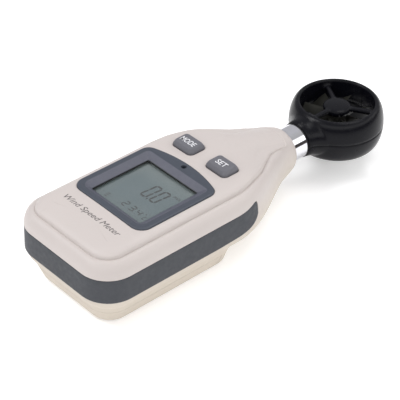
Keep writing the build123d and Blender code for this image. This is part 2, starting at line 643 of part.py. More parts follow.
with BuildPart() as impeller_magnet:
    post(0, HEAD_Y, SPLIT_Z - 2.3, SPLIT_Z - 0.9, 1.8)
    post(0, HEAD_Y, SPLIT_Z - 2.3, SPLIT_Z - 0.9, SHAFT_RADIUS, mode=Mode.SUBTRACT)

with BuildPart() as impeller_shaft:
    post(0, HEAD_Y, SPLIT_Z - 4.05, SPLIT_Z + 4.05, SHAFT_RADIUS)

# ---------------------------------------------------------------- rotation sensor and its wires
with BuildPart() as sensor_board:
    block((-3.0, 3.0), (27.3, 27.9), (9.2, 14.6))

with BuildPart() as rotation_sensor:
    block((-1.6, 1.6), (27.9, 29.1), (10.4, 13.4))

with BuildPart() as sensor_wires:
    for x in (-1.1, 0, 1.1):
        with BuildLine() as route:
            FilletPolyline((x, 27.3, SPLIT_Z), (x, -1.2, SPLIT_Z), (x, -1.2, BOARD_Z), radius=1.0)
        with BuildSketch(Plane(origin=(x, 27.3, SPLIT_Z), z_dir=(0, -1, 0))):
            Circle(0.4)
        sweep(path=route.wires()[0])

# ---------------------------------------------------------------- write every piece
pieces = {
    "front_case": front_case.part,
    "rear_case": rear_case.part,
    "battery_cover": battery_cover.part,
    "side_bumper": side_bumper,
    "display_bezel": display_bezel.part,
    "display_window": display_window.part,
    "display_gasket": display_gasket.part,
    "lcd_glass": lcd_glass.part,
    "lcd_holder": lcd_holder.part,
    "zebra_strips": zebra_strips.part,
    "main_board": main_board.part,
    "board_components": board_components.part,
    "tact_switches": tact_switches.part,
    "mode_button": mode_button,
    "set_button": set_button,
    "mode_switch_pin": mode_switch_pin,
    "set_switch_pin": set_switch_pin,
    "temperature_sensor": temperature_sensor.part,
    "battery_cell": battery_cell.part,
    "battery_holder": battery_holder.part,
    "battery_contact_negative": battery_contact_negative.part,
    "battery_contact_positive": battery_contact_positive.part,
    "battery_pad": battery_pad.part,
    "case_screws": case_screws.part,
    "board_screws": board_screws.part,
    "neck_tube": neck_tube.part,
    "neck_lock_ring": neck_lock_ring.part,
    "neck_seal": neck_seal.part,
    "head_upper_shell": head_upper_shell.part,
    "head_lower_shell": head_lower_shell.part,
    "head_screws": head_screws.part,
    "upper_bearing": upper_bearing.part,
    "lower_bearing": lower_bearing.part,
    "impeller": impeller.part,
    "impeller_magnet": impeller_magnet.part,
    "impeller_shaft": impeller_shaft.part,
    "sensor_board": sensor_board.part,
    "rotation_sensor": rotation_sensor.part,
    "sensor_wires": sensor_wires.part,
}
for name, part in pieces.items():
    save(part, name)
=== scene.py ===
"""Looks of the pocket vane anemometer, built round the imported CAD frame.

The script works in millimetres and turns them into metres where a mesh is made. +Y runs to the
vane, +Z is the display side.
"""
import json
import math

import bmesh
import bpy
import numpy as np
from mathutils import Matrix, Vector
from mathutils.bvhtree import BVHTree


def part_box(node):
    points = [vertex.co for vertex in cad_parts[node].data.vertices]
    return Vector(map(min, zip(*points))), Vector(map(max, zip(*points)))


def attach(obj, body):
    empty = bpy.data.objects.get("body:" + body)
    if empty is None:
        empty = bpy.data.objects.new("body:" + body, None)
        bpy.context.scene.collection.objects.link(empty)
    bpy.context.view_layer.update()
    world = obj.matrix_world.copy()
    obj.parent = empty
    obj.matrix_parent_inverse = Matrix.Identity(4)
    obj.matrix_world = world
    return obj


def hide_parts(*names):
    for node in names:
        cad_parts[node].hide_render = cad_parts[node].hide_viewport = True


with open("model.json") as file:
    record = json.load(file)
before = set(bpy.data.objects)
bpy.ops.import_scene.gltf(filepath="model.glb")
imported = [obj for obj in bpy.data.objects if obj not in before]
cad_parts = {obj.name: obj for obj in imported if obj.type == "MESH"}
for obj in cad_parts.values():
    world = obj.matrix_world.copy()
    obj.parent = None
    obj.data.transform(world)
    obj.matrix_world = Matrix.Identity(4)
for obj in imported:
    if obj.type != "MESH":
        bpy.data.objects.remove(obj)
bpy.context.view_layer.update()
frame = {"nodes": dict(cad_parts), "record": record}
nodes = frame["nodes"]
MM = 0.001


def corners(node):
    """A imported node's lowest and highest corner in millimetres, to a hundredth."""
    return [np.round(np.array(corner) / MM, 2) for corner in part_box(node)]


def centre_of(node, axis):
    """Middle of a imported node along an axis, in millimetres."""
    low, high = corners(node)
    return round(float(low[axis] + high[axis]) / 2, 2)


# ------------------------------------------------------------------ places from the frame
SPLIT_Z = corners("front_case")[0][2]        # split of the case halves and axis of the neck
COLLAR_END_Y = corners("front_case")[1][1]
FACE_UNDERSIDE_Z = corners("display_gasket")[1][2]
BEZEL_HALF = corners("display_bezel")[1][0]
BEZEL_LOW_Y = corners("display_bezel")[0][1]
BEZEL_SEAT_Z = corners("display_bezel")[0][2]
KEY_X = centre_of("set_button", 0)
KEY_Y = centre_of("set_button", 1)
KEY_FLANGE_Z = corners("set_button")[0][2]
KEY_TOP_Z = corners("set_button")[1][2]
PORT_Y = centre_of("temperature_sensor", 1)
CELL_Y = centre_of("battery_cell", 1)
TUBE_START_Y = corners("neck_tube")[0][1]
TUBE_END_Y = corners("neck_tube")[1][1]
TUBE_RADIUS = corners("neck_tube")[1][0]
BOSS_START_Y = corners("head_upper_shell")[0][1]
HEAD_RADIUS = corners("head_upper_shell")[1][0]
HEAD_Y = centre_of("impeller", 1)
VANE_LOW_Z = corners("impeller")[0][2]
VANE_HIGH_Z = corners("impeller")[1][2]

# ------------------------------------------------------------------ dimensions
HALF_WIDTH = 17.3                # case at the split line
BASE_Y = -52.35
BASE_CORNER = 7.9
SHOULDER_Y = -10.0
NECK_HALF = 7.5
NECK_START_Y = 14.0
COLLAR_END_HALF = 4.6
WALL_INSET = 2.7
CAVITY_END_Y = 7.0
UPPER_CAVITY_Z = 17.0
SHOULDER_FOOT = 3.5              # where the front case starts to lean in, above the split
SHOULDER_INSET = 2.6
SHOULDER_RISE = 4.22
PANEL_FOOT = 2.85                # inset of the raised panel's foot
PANEL_EDGE = 2.92                # inset where its soft edge starts
PANEL_HEIGHT = 8.24              # that edge's height above the split
PANEL_RISE = 1.26
BASE_STRETCH = 1.75              # the panel's rise is longer at the base end

WELL_RADIUS = 11.3               # battery well and its roof
WELL_TOP_Z = 8.4
ROOF_TOP_Z = 9.4
COVER_Z = 4.2                    # parting line of the battery cover
COVER_END_Y = -14.0
HUMP_ROOT_Z = 9.1
RAIL_X = 12.3
RAIL_ENDS = (-42.0, -18.0)
CASE_SCREWS = ((-11.6, -46.6), (11.6, -46.6))
NECK_SCREWS = ((-7.4, 5.4), (7.4, 5.4))
GRIP_RIBS = 5

BAND_FIT = 0.09                  # gap between the bumper band and its recess
BAND_TIP_Y = -3.70
BAND_ROOT = -1.15                # how deep the band sits in the case

VIEW = (8.8, -34.4, -16.8)       # opening of the bezel: half width, low y, high y
PORT_RADIUS = 0.7
LCD_TOP_Z = 19.78
INK_TOP_Z = 19.795
WINDOW_Z = (19.95, 20.06)

DUCT_RADIUS = 9.7
LIP_RADIUS = 10.17
HEAD_HALF_HEIGHT = 5.95
SPOKE_ANGLES = (-90, 30, 150)
BLADES = 8
BLADE_RADIUS = 9.12
BLADE_PHASE = 40.5               # degrees; no floor shows between the blades from the camera
BLADE_TWIST = 22.0               # degrees from mid height to either edge
BOSS_SECTIONS = (                # distance from the boss's start, half width, half height
    (0, 4.60, 4.60), (0.06, 4.66, 4.66), (0.2, 4.71, 4.70), (0.7, 4.78, 4.75), (1.2, 4.87, 4.80),
    (1.7, 5.02, 4.88), (2.2, 5.25, 4.97), (2.7, 5.55, 5.08), (3.2, 5.95, 5.20), (3.7, 6.40, 5.31),
    (4.2, 6.85, 5.40), (4.8, 7.25, 5.45), (6.0, 7.6, 5.47))


def add_node(tree, kind, data_type=None, **inputs):
    """A shader node. inputs are values, or sockets to link; _ stands for a space in a name."""
    node = tree.nodes.new("ShaderNode" + kind)
    if data_type:
        node.data_type = data_type
    for name, value in inputs.items():
        socket = node.inputs[name.replace("_", " ")]
        if isinstance(value, bpy.types.NodeSocket):
            tree.links.new(value, socket)
        else:
            socket.default_value = value
    return node


# ------------------------------------------------------------------ camera and studio
CAMERA_AT = Vector((231.96, -222.2, 248.06)) * MM
CAMERA_AZIMUTH = math.radians(47.24)
CAMERA_ELEVATION = math.radians(37.10)
CAMERA_ROLL = math.radians(1.16)
CAMERA_LENS = 144.8
WORLD_STRENGTH = 2.4


def add_camera():
    """A long lens looking down at the display side from the base end's right."""
    az, el = CAMERA_AZIMUTH, CAMERA_ELEVATION
    back = Vector((math.sin(az) * math.cos(el), -math.cos(az) * math.cos(el), math.sin(el)))
    right = Vector((math.cos(az), math.sin(az), 0))
    up = back.cross(right)
    turned_right = right * math.cos(CAMERA_ROLL) + up * math.sin(CAMERA_ROLL)
    turned_up = up * math.cos(CAMERA_ROLL) - right * math.sin(CAMERA_ROLL)
    camera = bpy.data.objects.new("camera", bpy.data.cameras.new("camera"))
    camera.data.lens = CAMERA_LENS
    camera.data.sensor_width = 36
    camera.data.clip_start = 0.01
    camera.matrix_world = Matrix((turned_right, turned_up, back)).transposed().to_4x4()
    camera.location = CAMERA_AT
    bpy.context.scene.collection.objects.link(camera)
    bpy.context.scene.camera = camera


def add_area_light(name, place, target, size, power):
    """A soft box at place, aimed at target."""
    light = bpy.data.lights.new(name, "AREA")
    light.shape = "RECTANGLE"
    light.size, light.size_y = size
    light.energy = power
    lamp = bpy.data.objects.new(name, light)
    lamp.location = place
    aim = Vector(target) - Vector(place)
    lamp.rotation_euler = aim.to_track_quat("-Z", "Y").to_euler()
    bpy.context.scene.collection.objects.link(lamp)


def add_world():
    """Pale surroundings. On the +X side a dark strip lies above the horizon, under a bright one."""
    world = bpy.data.worlds.new("studio")
    bpy.context.scene.world = world
    world.use_nodes = True
    tree = world.node_tree
    place = add_node(tree, "TexCoord").outputs["Generated"]
    split = add_node(tree, "SeparateXYZ", Vector=place)
    ramp = add_node(tree, "ValToRGB", Fac=split.outputs["Z"])
    stops = ramp.color_ramp.elements
    stops[0].position, stops[0].color = 0.0, (0.035, 0.028, 0.027, 1)
    stops[1].position, stops[1].color = 1.0, (0.27, 0.27, 0.28, 1)
    for position, level in ((0.29, 0.025), (0.305, 0.85), (0.60, 0.85), (0.68, 0.20)):
        stop = stops.new(position)
        stop.color = (level, level, level, 1)
    side = add_node(tree, "MapRange", Value=split.outputs["X"], From_Min=-0.10, From_Max=0.10)
    mix = add_node(tree, "Mix", "RGBA", Factor=side.outputs["Result"], A=(0.24, 0.24, 0.25, 1),
                   B=ramp.outputs["Color"])
    background = tree.nodes["Background"]
    background.inputs["Strength"].default_value = WORLD_STRENGTH
    tree.links.new(mix.outputs["Result"], background.inputs["Color"])


def add_studio():
    """Pale floor, pale surroundings and three soft boxes."""
    bpy.context.scene.view_settings.view_transform = "Standard"
    add_world()
    add_area_light("key", (-0.30, -0.35, 0.60), (0, 0, 0), (0.26, 0.26), 1.9)
    add_area_light("fill", (0.50, -0.15, 0.30), (0, 0.01, 0.01), (0.30, 0.25), 0.03)
    add_area_light("top", (0.05, 0.25, 0.70), (0, 0, 0.01), (0.40, 0.30), 1.15)
    bpy.ops.mesh.primitive_plane_add(size=3, location=(0, 0, 0))
    floor = bpy.context.object
    floor.name = "floor"
    floor.data.materials.append(floor_material())


# ------------------------------------------------------------------ materials
class Surface:
    """A Principled material with helpers for procedural detail in object space."""

    def __init__(self, name, colour, roughness, metallic=0.0, specular=0.5):
        self.material = bpy.data.materials.new(name)
        self.material.use_nodes = True
        self.tree = self.material.node_tree
        self.shader = self.tree.nodes["Principled BSDF"]
        self.shader.inputs["Metallic"].default_value = metallic
        self.shader.inputs["Specular IOR Level"].default_value = specular
        self.place = add_node(self.tree, "TexCoord").outputs["Object"]
        self.colour = (*colour, 1)
        self.roughness = roughness
        self.normal = None

    def noise(self, scale, detail=2.0, stretch=None):
        """Noise with features about 1/scale of a metre."""
        where = self.place
        if stretch:
            where = add_node(self.tree, "Mapping", Vector=where, Scale=stretch).outputs[0]
        return add_node(self.tree, "TexNoise", Vector=where, Scale=scale, Detail=detail).outputs["Fac"]

    def along(self, axis):
        """The object's own coordinate along an axis, in metres."""
        return add_node(self.tree, "SeparateXYZ", Vector=self.place).outputs[axis]

    def ranged(self, source, low, high, to_low=0.0, to_high=1.0):
        """Maps source from low and high to to_low and to_high."""
        return add_node(self.tree, "MapRange", Value=source, From_Min=low, From_Max=high,
                        To_Min=to_low, To_Max=to_high).outputs[0]

    def tint(self, factor, colour):
        """Mixes colour in where factor is high."""
        mix = add_node(self.tree, "Mix", "RGBA", Factor=factor, A=self.colour, B=(*colour, 1))
        self.colour = mix.outputs["Result"]

    def soften(self, radius):
        """Edges catch light as if rounded by radius millimetres."""
        bevel = add_node(self.tree, "Bevel", Radius=radius * MM)
        bevel.samples = 6
        self.normal = bevel.outputs[0]

    def bump(self, height, depth):
        """Relief of depth millimetres."""
        node = add_node(self.tree, "Bump", Height=height, Distance=depth * MM, Strength=1.0)
        if self.normal:
            self.tree.links.new(self.normal, node.inputs["Normal"])
        self.normal = node.outputs[0]

    def crevice(self, colour):
        """Dust and painted shade: darker near inner corners, where occlusion is high."""
        occlusion = add_node(self.tree, "AmbientOcclusion", Distance=0.6 * MM)
        occlusion.samples = 4
        self.tint(self.ranged(occlusion.outputs["AO"], 0.75, 0.25, 0.0, 0.6), colour)

    def done(self):
        """Links colour, uneven roughness and relief to the shader."""
        spread = self.roughness * 0.16
        rough = self.ranged(self.noise(900, 3), 0.3, 0.7, self.roughness - spread,
                            self.roughness + spread)
        self.tree.links.new(rough, self.shader.inputs["Roughness"])
        self.tree.links.new(self.colour, self.shader.inputs["Base Color"])
        if self.normal:
            self.tree.links.new(self.normal, self.shader.inputs["Normal"])
        return self.material


def moulded(name, colour, roughness, *, grain=0.004, edge=0.12, mottle=0.04, specular=0.5,
            dust_and_shade=None, grain_scale=5200, worn=None, painted_bounce_light=None):
    """Moulded plastic or rubber: spark-eroded grain, slight mottling and soft edges. Dust with painted
    shade in inner corners, and painted yellowish bounce light low down, where asked for.
    """
    surface = Surface(name, colour, roughness, specular=specular)
    darker = tuple(c * (1 - 2.5 * mottle) for c in colour)
    surface.tint(surface.ranged(surface.noise(130, 3), 0.35, 0.75, 0.0, 0.55), darker)
    speck = tuple(c * (1 - 3 * mottle) for c in colour)
    surface.tint(surface.ranged(surface.noise(3000, 2), 0.5, 0.8, 0.0, 0.5), speck)
    if worn:
        rubbed = surface.ranged(surface.noise(700, 5, (1, 0.35, 1)), 0.60, 0.78, 0.0, 0.5)
        surface.tint(rubbed, worn)
    if painted_bounce_light:
        # painted bounce light: tinted yellower the lower the surface, rising from 16.5 mm down to 7 mm
        surface.tint(surface.ranged(surface.along("Z"), 16.5 * MM, 7.0 * MM, 0.0, 0.9), painted_bounce_light)
    if dust_and_shade:
        # Dust and painted shade: darker near inner corners
        surface.crevice(dust_and_shade)
    surface.soften(edge)
    surface.bump(surface.noise(grain_scale, 2), grain)
    return surface.done()


def metal(name, colour, roughness, edge=0.05):
    """Plated or machined metal with fine polishing marks."""
    surface = Surface(name, colour, roughness, metallic=1.0)
    darker = tuple(c * 0.86 for c in colour)
    surface.tint(surface.ranged(surface.noise(400, 4), 0.45, 0.75, 0.0, 0.6), darker)
    surface.soften(edge)
    surface.bump(surface.noise(2500, 2), 0.0006)
    return surface.done()


def floor_material():
    """Backlit white paper, so that shadows on it stay faint."""
    surface = Surface("floor_paper", (0.90, 0.90, 0.90), 0.8, specular=0.05)
    surface.tint(surface.ranged(surface.noise(60, 3), 0.4, 0.7, 0.0, 0.3), (0.88, 0.88, 0.88))
    surface.bump(surface.noise(2500, 2), 0.01)
    surface.shader.inputs["Emission Color"].default_value = (1, 0.995, 0.985, 1)
    surface.shader.inputs["Emission Strength"].default_value = 0.30
    return surface.done()


def clear_material(name):
    """Thin clear plastic: mostly see-through, with a faint sheen and wipe marks."""
    material = bpy.data.materials.new(name)
    material.use_nodes = True
    tree = material.node_tree
    tree.nodes.clear()
    place = add_node(tree, "TexCoord").outputs["Object"]
    wipes = add_node(tree, "TexNoise", Vector=place, Scale=250).outputs["Fac"]
    haze = add_node(tree, "MapRange", Value=wipes, To_Min=0.02, To_Max=0.07)
    through = add_node(tree, "BsdfTransparent", Color=(0.97, 0.98, 0.98, 1))
    sheen = add_node(tree, "BsdfGlossy", Roughness=0.12)
    mix = add_node(tree, "MixShader", Fac=haze.outputs["Result"])
    tree.links.new(through.outputs[0], mix.inputs[1])
    tree.links.new(sheen.outputs[0], mix.inputs[2])
    add_node(tree, "OutputMaterial", Surface=mix.outputs[0])
    return material


def display_material():
    """Reflective grey-green display with painted light: lighter towards the far and left edges, where
    the light comes over, and a little lighter at the near end.
    """
    surface = Surface("lcd_face", (0.150, 0.183, 0.192), 0.35, specular=0.3)
    # painted light: lighter towards the far, left and near edges
    far = surface.ranged(surface.along("Y"), -22.5 * MM, -16.5 * MM, 0.0, 0.55)
    surface.tint(far, (0.27, 0.29, 0.275))
    left = surface.ranged(surface.along("X"), -6.2 * MM, -9.5 * MM, 0.0, 0.45)
    surface.tint(left, (0.25, 0.27, 0.262))
    near = surface.ranged(surface.along("Y"), -28.0 * MM, -34.5 * MM, 0.0, 0.35)
    surface.tint(near, (0.18, 0.20, 0.195))
    surface.tint(surface.ranged(surface.noise(180, 3), 0.4, 0.7, 0.0, 0.3), (0.135, 0.165, 0.172))
    surface.bump(surface.noise(1200, 2), 0.0015)
    return surface.done()


# ------------------------------------------------------------------ meshes
SHARP_ANGLE = 38                 # degrees between faces above which an edge stays sharp
MERGE = 0.0015                   # millimetres within which points become one


def make_object(name, verts, faces, material=None, merge=MERGE, sharp=SHARP_ANGLE):
    """A closed mesh from millimetre points, with smooth shading up to the sharp angle."""
    mesh = bpy.data.meshes.new(name)
    mesh.from_pydata([tuple(float(c) * MM for c in v) for v in verts], [], faces)
    work = bmesh.new()
    work.from_mesh(mesh)
    bmesh.ops.remove_doubles(work, verts=work.verts, dist=merge * MM)
    bmesh.ops.dissolve_degenerate(work, edges=work.edges, dist=merge * MM)
    bmesh.ops.recalc_face_normals(work, faces=work.faces)
    work.to_mesh(mesh)
    work.free()
    smooth(mesh, sharp)
    thing = bpy.data.objects.new(name, mesh)
    if material:
        mesh.materials.append(material)
    bpy.context.scene.collection.objects.link(thing)
    return thing


def smooth(mesh, sharp):
    """Smooth shading, with creases where faces meet at more than the sharp angle."""
    mesh.polygons.foreach_set("use_smooth", [True] * len(mesh.polygons))
    mesh.set_sharp_from_angle(angle=math.radians(sharp))


def rings_object(name, rings, material=None, closed=False, end_cap=True, sharp=SHARP_ANGLE,
                 merge=MERGE):
    """Skins closed rings of equal length and caps both ends; closed joins last to first instead."""
    count = len(rings[0])
    verts = [p for ring in rings for p in ring]
    faces = []
    spans = len(rings) if closed else len(rings) - 1
    for i in range(spans):
        a, b = i * count, ((i + 1) % len(rings)) * count
        for j in range(count):
            k = (j + 1) % count
            faces.append((a + j, a + k, b + k, b + j))
    if not closed:
        faces.append(tuple(range(count - 1, -1, -1)))
    if end_cap and not closed:
        faces.append(tuple(range(len(verts) - count, len(verts))))
    return make_object(name, verts, faces, material, merge, sharp)


def at_height(loop, z):
    """A plan as a ring at one height."""
    return [(x, y, z) for x, y in loop]


def prism(loop, z_low, z_high):
    """A cutter or block with the plan loop."""
    return rings_object("cut", [at_height(loop, z_low), at_height(loop, z_high)])


def post(x, y, z_low, z_high, radius):
    """An upright round cutter."""
    loop = [(x + radius * math.cos(2 * math.pi * i / 48), y + radius * math.sin(2 * math.pi * i / 48))
            for i in range(48)]
    return prism(loop, z_low, z_high)


def box(x_range, y_range, z_range):
    """A rectangular cutter."""
    (x0, x1), (y0, y1) = x_range, y_range
    return prism([(x0, y0), (x1, y0), (x1, y1), (x0, y1)], *z_range)


def rounded_rect(half_x, y_low, y_high, radius, steps=8, x=0.0):
    """Plan of a rounded rectangle, counter-clockwise."""
    half_y = (y_high - y_low) / 2
    middle = (y_high + y_low) / 2
    loop = []
    for corner, (sx, sy) in enumerate(((1, -1), (1, 1), (-1, 1), (-1, -1))):
        cx, cy = x + sx * (half_x - radius), middle + sy * (half_y - radius)
        for step in range(steps + 1):
            a = math.pi / 2 * (corner - 1 + step / steps)
            loop.append((cx + radius * math.cos(a), cy + radius * math.sin(a)))
    return loop


def neck_ring(y, half_x, half_z):
    """An ellipse round the neck's axis."""
    return [(half_x * math.cos(a), y, SPLIT_Z + half_z * math.sin(a))
            for a in np.linspace(0, 2 * math.pi, 96, endpoint=False)]


def neck_rod(y_low, y_high, radius):
    """A cylinder along the neck's axis."""
    return rings_object("cut", [neck_ring(y, radius, radius) for y in (y_low, y_high)])


def revolved(name, profile, centre, material=None, count=144, along_y=False):
    """Turns a closed profile of (radius, height) about an upright axis, or one along +Y."""
    rings = []
    for a in np.linspace(0, 2 * math.pi, count, endpoint=False):
        c, s = math.cos(a), math.sin(a)
        if along_y:
            rings.append([(centre[0] + r * c, h, centre[1] + r * s) for r, h in profile])
        else:
            rings.append([(centre[0] + r * c, centre[1] + r * s, h) for r, h in profile])
    return rings_object(name, rings, material, closed=True)


def join(things):
    """Joins meshes into the first one."""
    work = bmesh.new()
    for thing in things:
        work.from_mesh(thing.data)
    work.to_mesh(things[0].data)
    work.free()
    for thing in things[1:]:
        bpy.data.objects.remove(thing)
    return things[0]


def carve(target, cutters, operation="DIFFERENCE"):
    """Cuts, adds or keeps with exact booleans, one after another, then drops the cutters."""
    for cutter in cutters:
        modifier = target.modifiers.new("carve", "BOOLEAN")
        modifier.operation = operation
        modifier.solver = "EXACT"
        modifier.object = cutter
    bpy.context.view_layer.update()
    graph = bpy.context.evaluated_depsgraph_get()
    result = bpy.data.meshes.new_from_object(target.evaluated_get(graph))
    target.modifiers.clear()
    old = target.data
    target.data = result
    bpy.data.meshes.remove(old)
    for cutter in cutters:
        bpy.data.objects.remove(cutter)
    work = bmesh.new()
    work.from_mesh(result)
    bmesh.ops.remove_doubles(work, verts=work.verts, dist=0.0006 * MM)
    bmesh.ops.dissolve_degenerate(work, edges=work.edges, dist=0.0006 * MM)
    work.to_mesh(result)
    work.free()
    smooth(result, SHARP_ANGLE)


def placed(piece, body, slot, *replaced):
    """Parents a finished piece to its body's empty and hides the imported parts that it replaces."""
    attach(piece, body)
    if replaced:
        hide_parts(*replaced)


# ------------------------------------------------------------------ case outline
def bezier(points, count):
    """Cubic Bezier curve with four control points."""
    t = np.linspace(0, 1, count)[:, None]
    p0, p1, p2, p3 = (np.array(p, float) for p in points)
    return (1 - t)**3 * p0 + 3 * t * (1 - t)**2 * p1 + 3 * t**2 * (1 - t) * p2 + t**3 * p3


def through(points, per_span):
    """Catmull-Rom curve through points."""
    p = np.array(points, float)
    p = np.vstack([2 * p[0] - p[1], p, 2 * p[-1] - p[-2]])
    out = []
    for i in range(1, len(p) - 2):
        for t in np.linspace(0, 1, per_span, endpoint=False):
            out.append(0.5 * (2 * p[i] + (p[i + 1] - p[i - 1]) * t
                              + (2 * p[i - 1] - 5 * p[i] + 4 * p[i + 1] - p[i + 2]) * t**2
                              + (3 * p[i] - p[i - 1] - 3 * p[i + 1] + p[i + 2]) * t**3))
    out.append(p[-2])
    return np.array(out)


def case_half():
    """Right half of the case's plan, from the middle of the base end to the neck's axis."""
    straight = HALF_WIDTH - BASE_CORNER
    corner = [(straight + BASE_CORNER * math.cos(a), BASE_Y + BASE_CORNER + BASE_CORNER * math.sin(a))
              for a in np.linspace(-math.pi / 2, 0, 20)]
    neck = bezier(((HALF_WIDTH, SHOULDER_Y), (HALF_WIDTH, -1.0), (10.6, 6.5),
                   (NECK_HALF, NECK_START_Y)), 44)
    collar = through(((NECK_HALF, NECK_START_Y), (7.0, 15.9), (6.55, 18.0), (6.05, 19.4), (5.35, 20.3),
                      (COLLAR_END_HALF, COLLAR_END_Y)), 5)
    parts = [np.column_stack([np.linspace(0, straight, 9), np.full(9, BASE_Y)])[:-1],
             np.array(corner)[:-1],
             np.column_stack([np.full(26, HALF_WIDTH),
                              np.linspace(BASE_Y + BASE_CORNER, SHOULDER_Y, 26)])[:-1],
             neck[:-1], collar[:-1],
             np.column_stack([np.linspace(COLLAR_END_HALF, 0, 5), np.full(5, COLLAR_END_Y)])]
    return np.vstack(parts)


def case_loop():
    """Closed plan of the case, counter-clockwise, with outward normals."""
    half = case_half()
    left = half[1:-1][::-1] * (-1, 1)
    loop = np.vstack([half, left])
    step = np.roll(loop, -1, 0) - np.roll(loop, 1, 0)
    step /= np.linalg.norm(step, axis=1)[:, None]
    return loop, np.column_stack([step[:, 1], -step[:, 0]])


LOOP, NORMAL = case_loop()
# how much of a row's inset is left along the case, at the front and at the rear
FRONT_SHARE = np.interp(LOOP[:, 1], (-8, -2, 3, 7, 10, 12, 14, 16, 21),
                        (1, 0.95, 0.80, 0.88, 0.94, 0.83, 0.60, 0.3, 0.3))
REAR_SHARE = np.interp(LOOP[:, 1], (-8, 8, 13, 16, 21), (1, 1, 1.3, 1.0, 0.3))
CROWN = np.clip(LOOP[:, 1] / 12, 0, 1)     # how far the panel's rise spreads to the middle
# how far the section has turned into the round collar, eased at both ends
ROUND_SHARE = np.clip((LOOP[:, 1] - 10.5) / 8.5, 0, 1)
ROUND_SHARE = ROUND_SHARE**2 * (3 - 2 * ROUND_SHARE)
SPINE = np.column_stack([np.zeros(len(LOOP)), np.clip(LOOP[:, 1], -42, 16)])


def cavity_loop():
    """Plan of the cavity: the case's plan drawn in by the wall and cut off short of the neck."""
    loop = LOOP - NORMAL * WALL_INSET * FRONT_SHARE[:, None]
    return [tuple(p) for p in loop if p[1] <= CAVITY_END_Y]


def fall(y):
    """How the height of the face drops towards the neck."""
    return 1 - 0.265 * np.clip((y + 4) / 20, 0, None)**1.8


def shell_rings(rows, fill, sign):
    """Rings of a case half. rows are (inset, height above the split, stretch at the base end),
    fill the fractions of the way to the middle with a rise; sign is 1 for the display side."""
    rings = []
    end_inset, end_height = rows[-1][0], rows[-1][1]
    table = [(inset, height, stretch, 0.0) for inset, height, stretch in rows]
    table += [(end_inset, end_height + rise, 1.0, share) for share, rise in fill]
    toward_base = np.clip(-NORMAL[:, 1], 0, 1)
    angle = 0.0
    inset_share = FRONT_SHARE if sign > 0 else REAR_SHARE
    for inset, height, stretch, share in table:
        plain = min(inset, PANEL_FOOT)
        depth = plain + (inset - plain) * (1 + (BASE_STRETCH - 1) * toward_base * stretch)
        flat = LOOP - NORMAL * (depth * inset_share)[:, None]
        flat = flat * (1 - share) + SPINE * share
        drop = fall(flat[:, 1]) if sign > 0 else 1.0
        spread = height
        if sign > 0 and height > PANEL_HEIGHT:
            spread = height - (height - PANEL_HEIGHT) * 0.85 * CROWN * (1 - share)**2
        z_flat = SPLIT_Z + sign * spread * drop
        # the same row on the round collar, at the angle that it has in a neck section
        steep = height * (0.735 if sign > 0 else 1.0)
        angle = max(angle, math.atan2(steep, (7.0 - 0.3 * inset) * (1 - share)))
        radius = np.abs(LOOP[:, 0])
        x_round = LOOP[:, 0] * math.cos(angle)
        z_round = SPLIT_Z + sign * radius * math.sin(angle)
        x = flat[:, 0] * (1 - ROUND_SHARE) + x_round * ROUND_SHARE
        y = flat[:, 1] * (1 - ROUND_SHARE) + LOOP[:, 1] * ROUND_SHARE
        z = z_flat * (1 - ROUND_SHARE) + z_round * ROUND_SHARE
        rings.append(np.column_stack([x, y, z]))
    return rings


def front_rows():
    """Rows of the display side: upright wall, round shoulder, foot line, raised panel."""
    rows = [(0.0, height, 0) for height in (0.0, 1.2, 2.4, SHOULDER_FOOT)]
    for a in np.linspace(0, math.pi / 2, 11)[1:]:
        rows.append((SHOULDER_INSET * (1 - math.cos(a)), SHOULDER_FOOT + SHOULDER_RISE * math.sin(a), 0))
    rows += [(2.66, 7.70, 0), (2.72, 7.67, 0), (2.79, 7.70, 0), (2.84, 7.82, 0), (2.87, 8.0, 0),
             (2.89, 8.14, 0), (PANEL_EDGE, PANEL_HEIGHT, 0)]
    for a in np.linspace(0, math.pi / 2, 10)[1:]:
        rows.append((PANEL_EDGE + SHOULDER_INSET * (1 - math.cos(a)),
                     PANEL_HEIGHT + PANEL_RISE * math.sin(a), 1))
    fill = [(share, 0.12 * (1 - (1 - share)**2)) for share in (0.12, 0.3, 0.5, 0.7, 0.85, 1.0)]
    return rows, fill


def shell_body(name, rows, fill, sign, material):
    """A solid case half before it is carved; its last ring has closed on the spine already."""
    return rings_object(name, shell_rings(rows, fill, sign), material, end_cap=False)


# ------------------------------------------------------------------ bumper band
def outline_station(path, lengths, s):
    """The point of a path at the distance s along it."""
    x = np.interp(s, lengths, path[:, 0])
    y = np.interp(s, lengths, path[:, 1])
    return np.array([x, y])


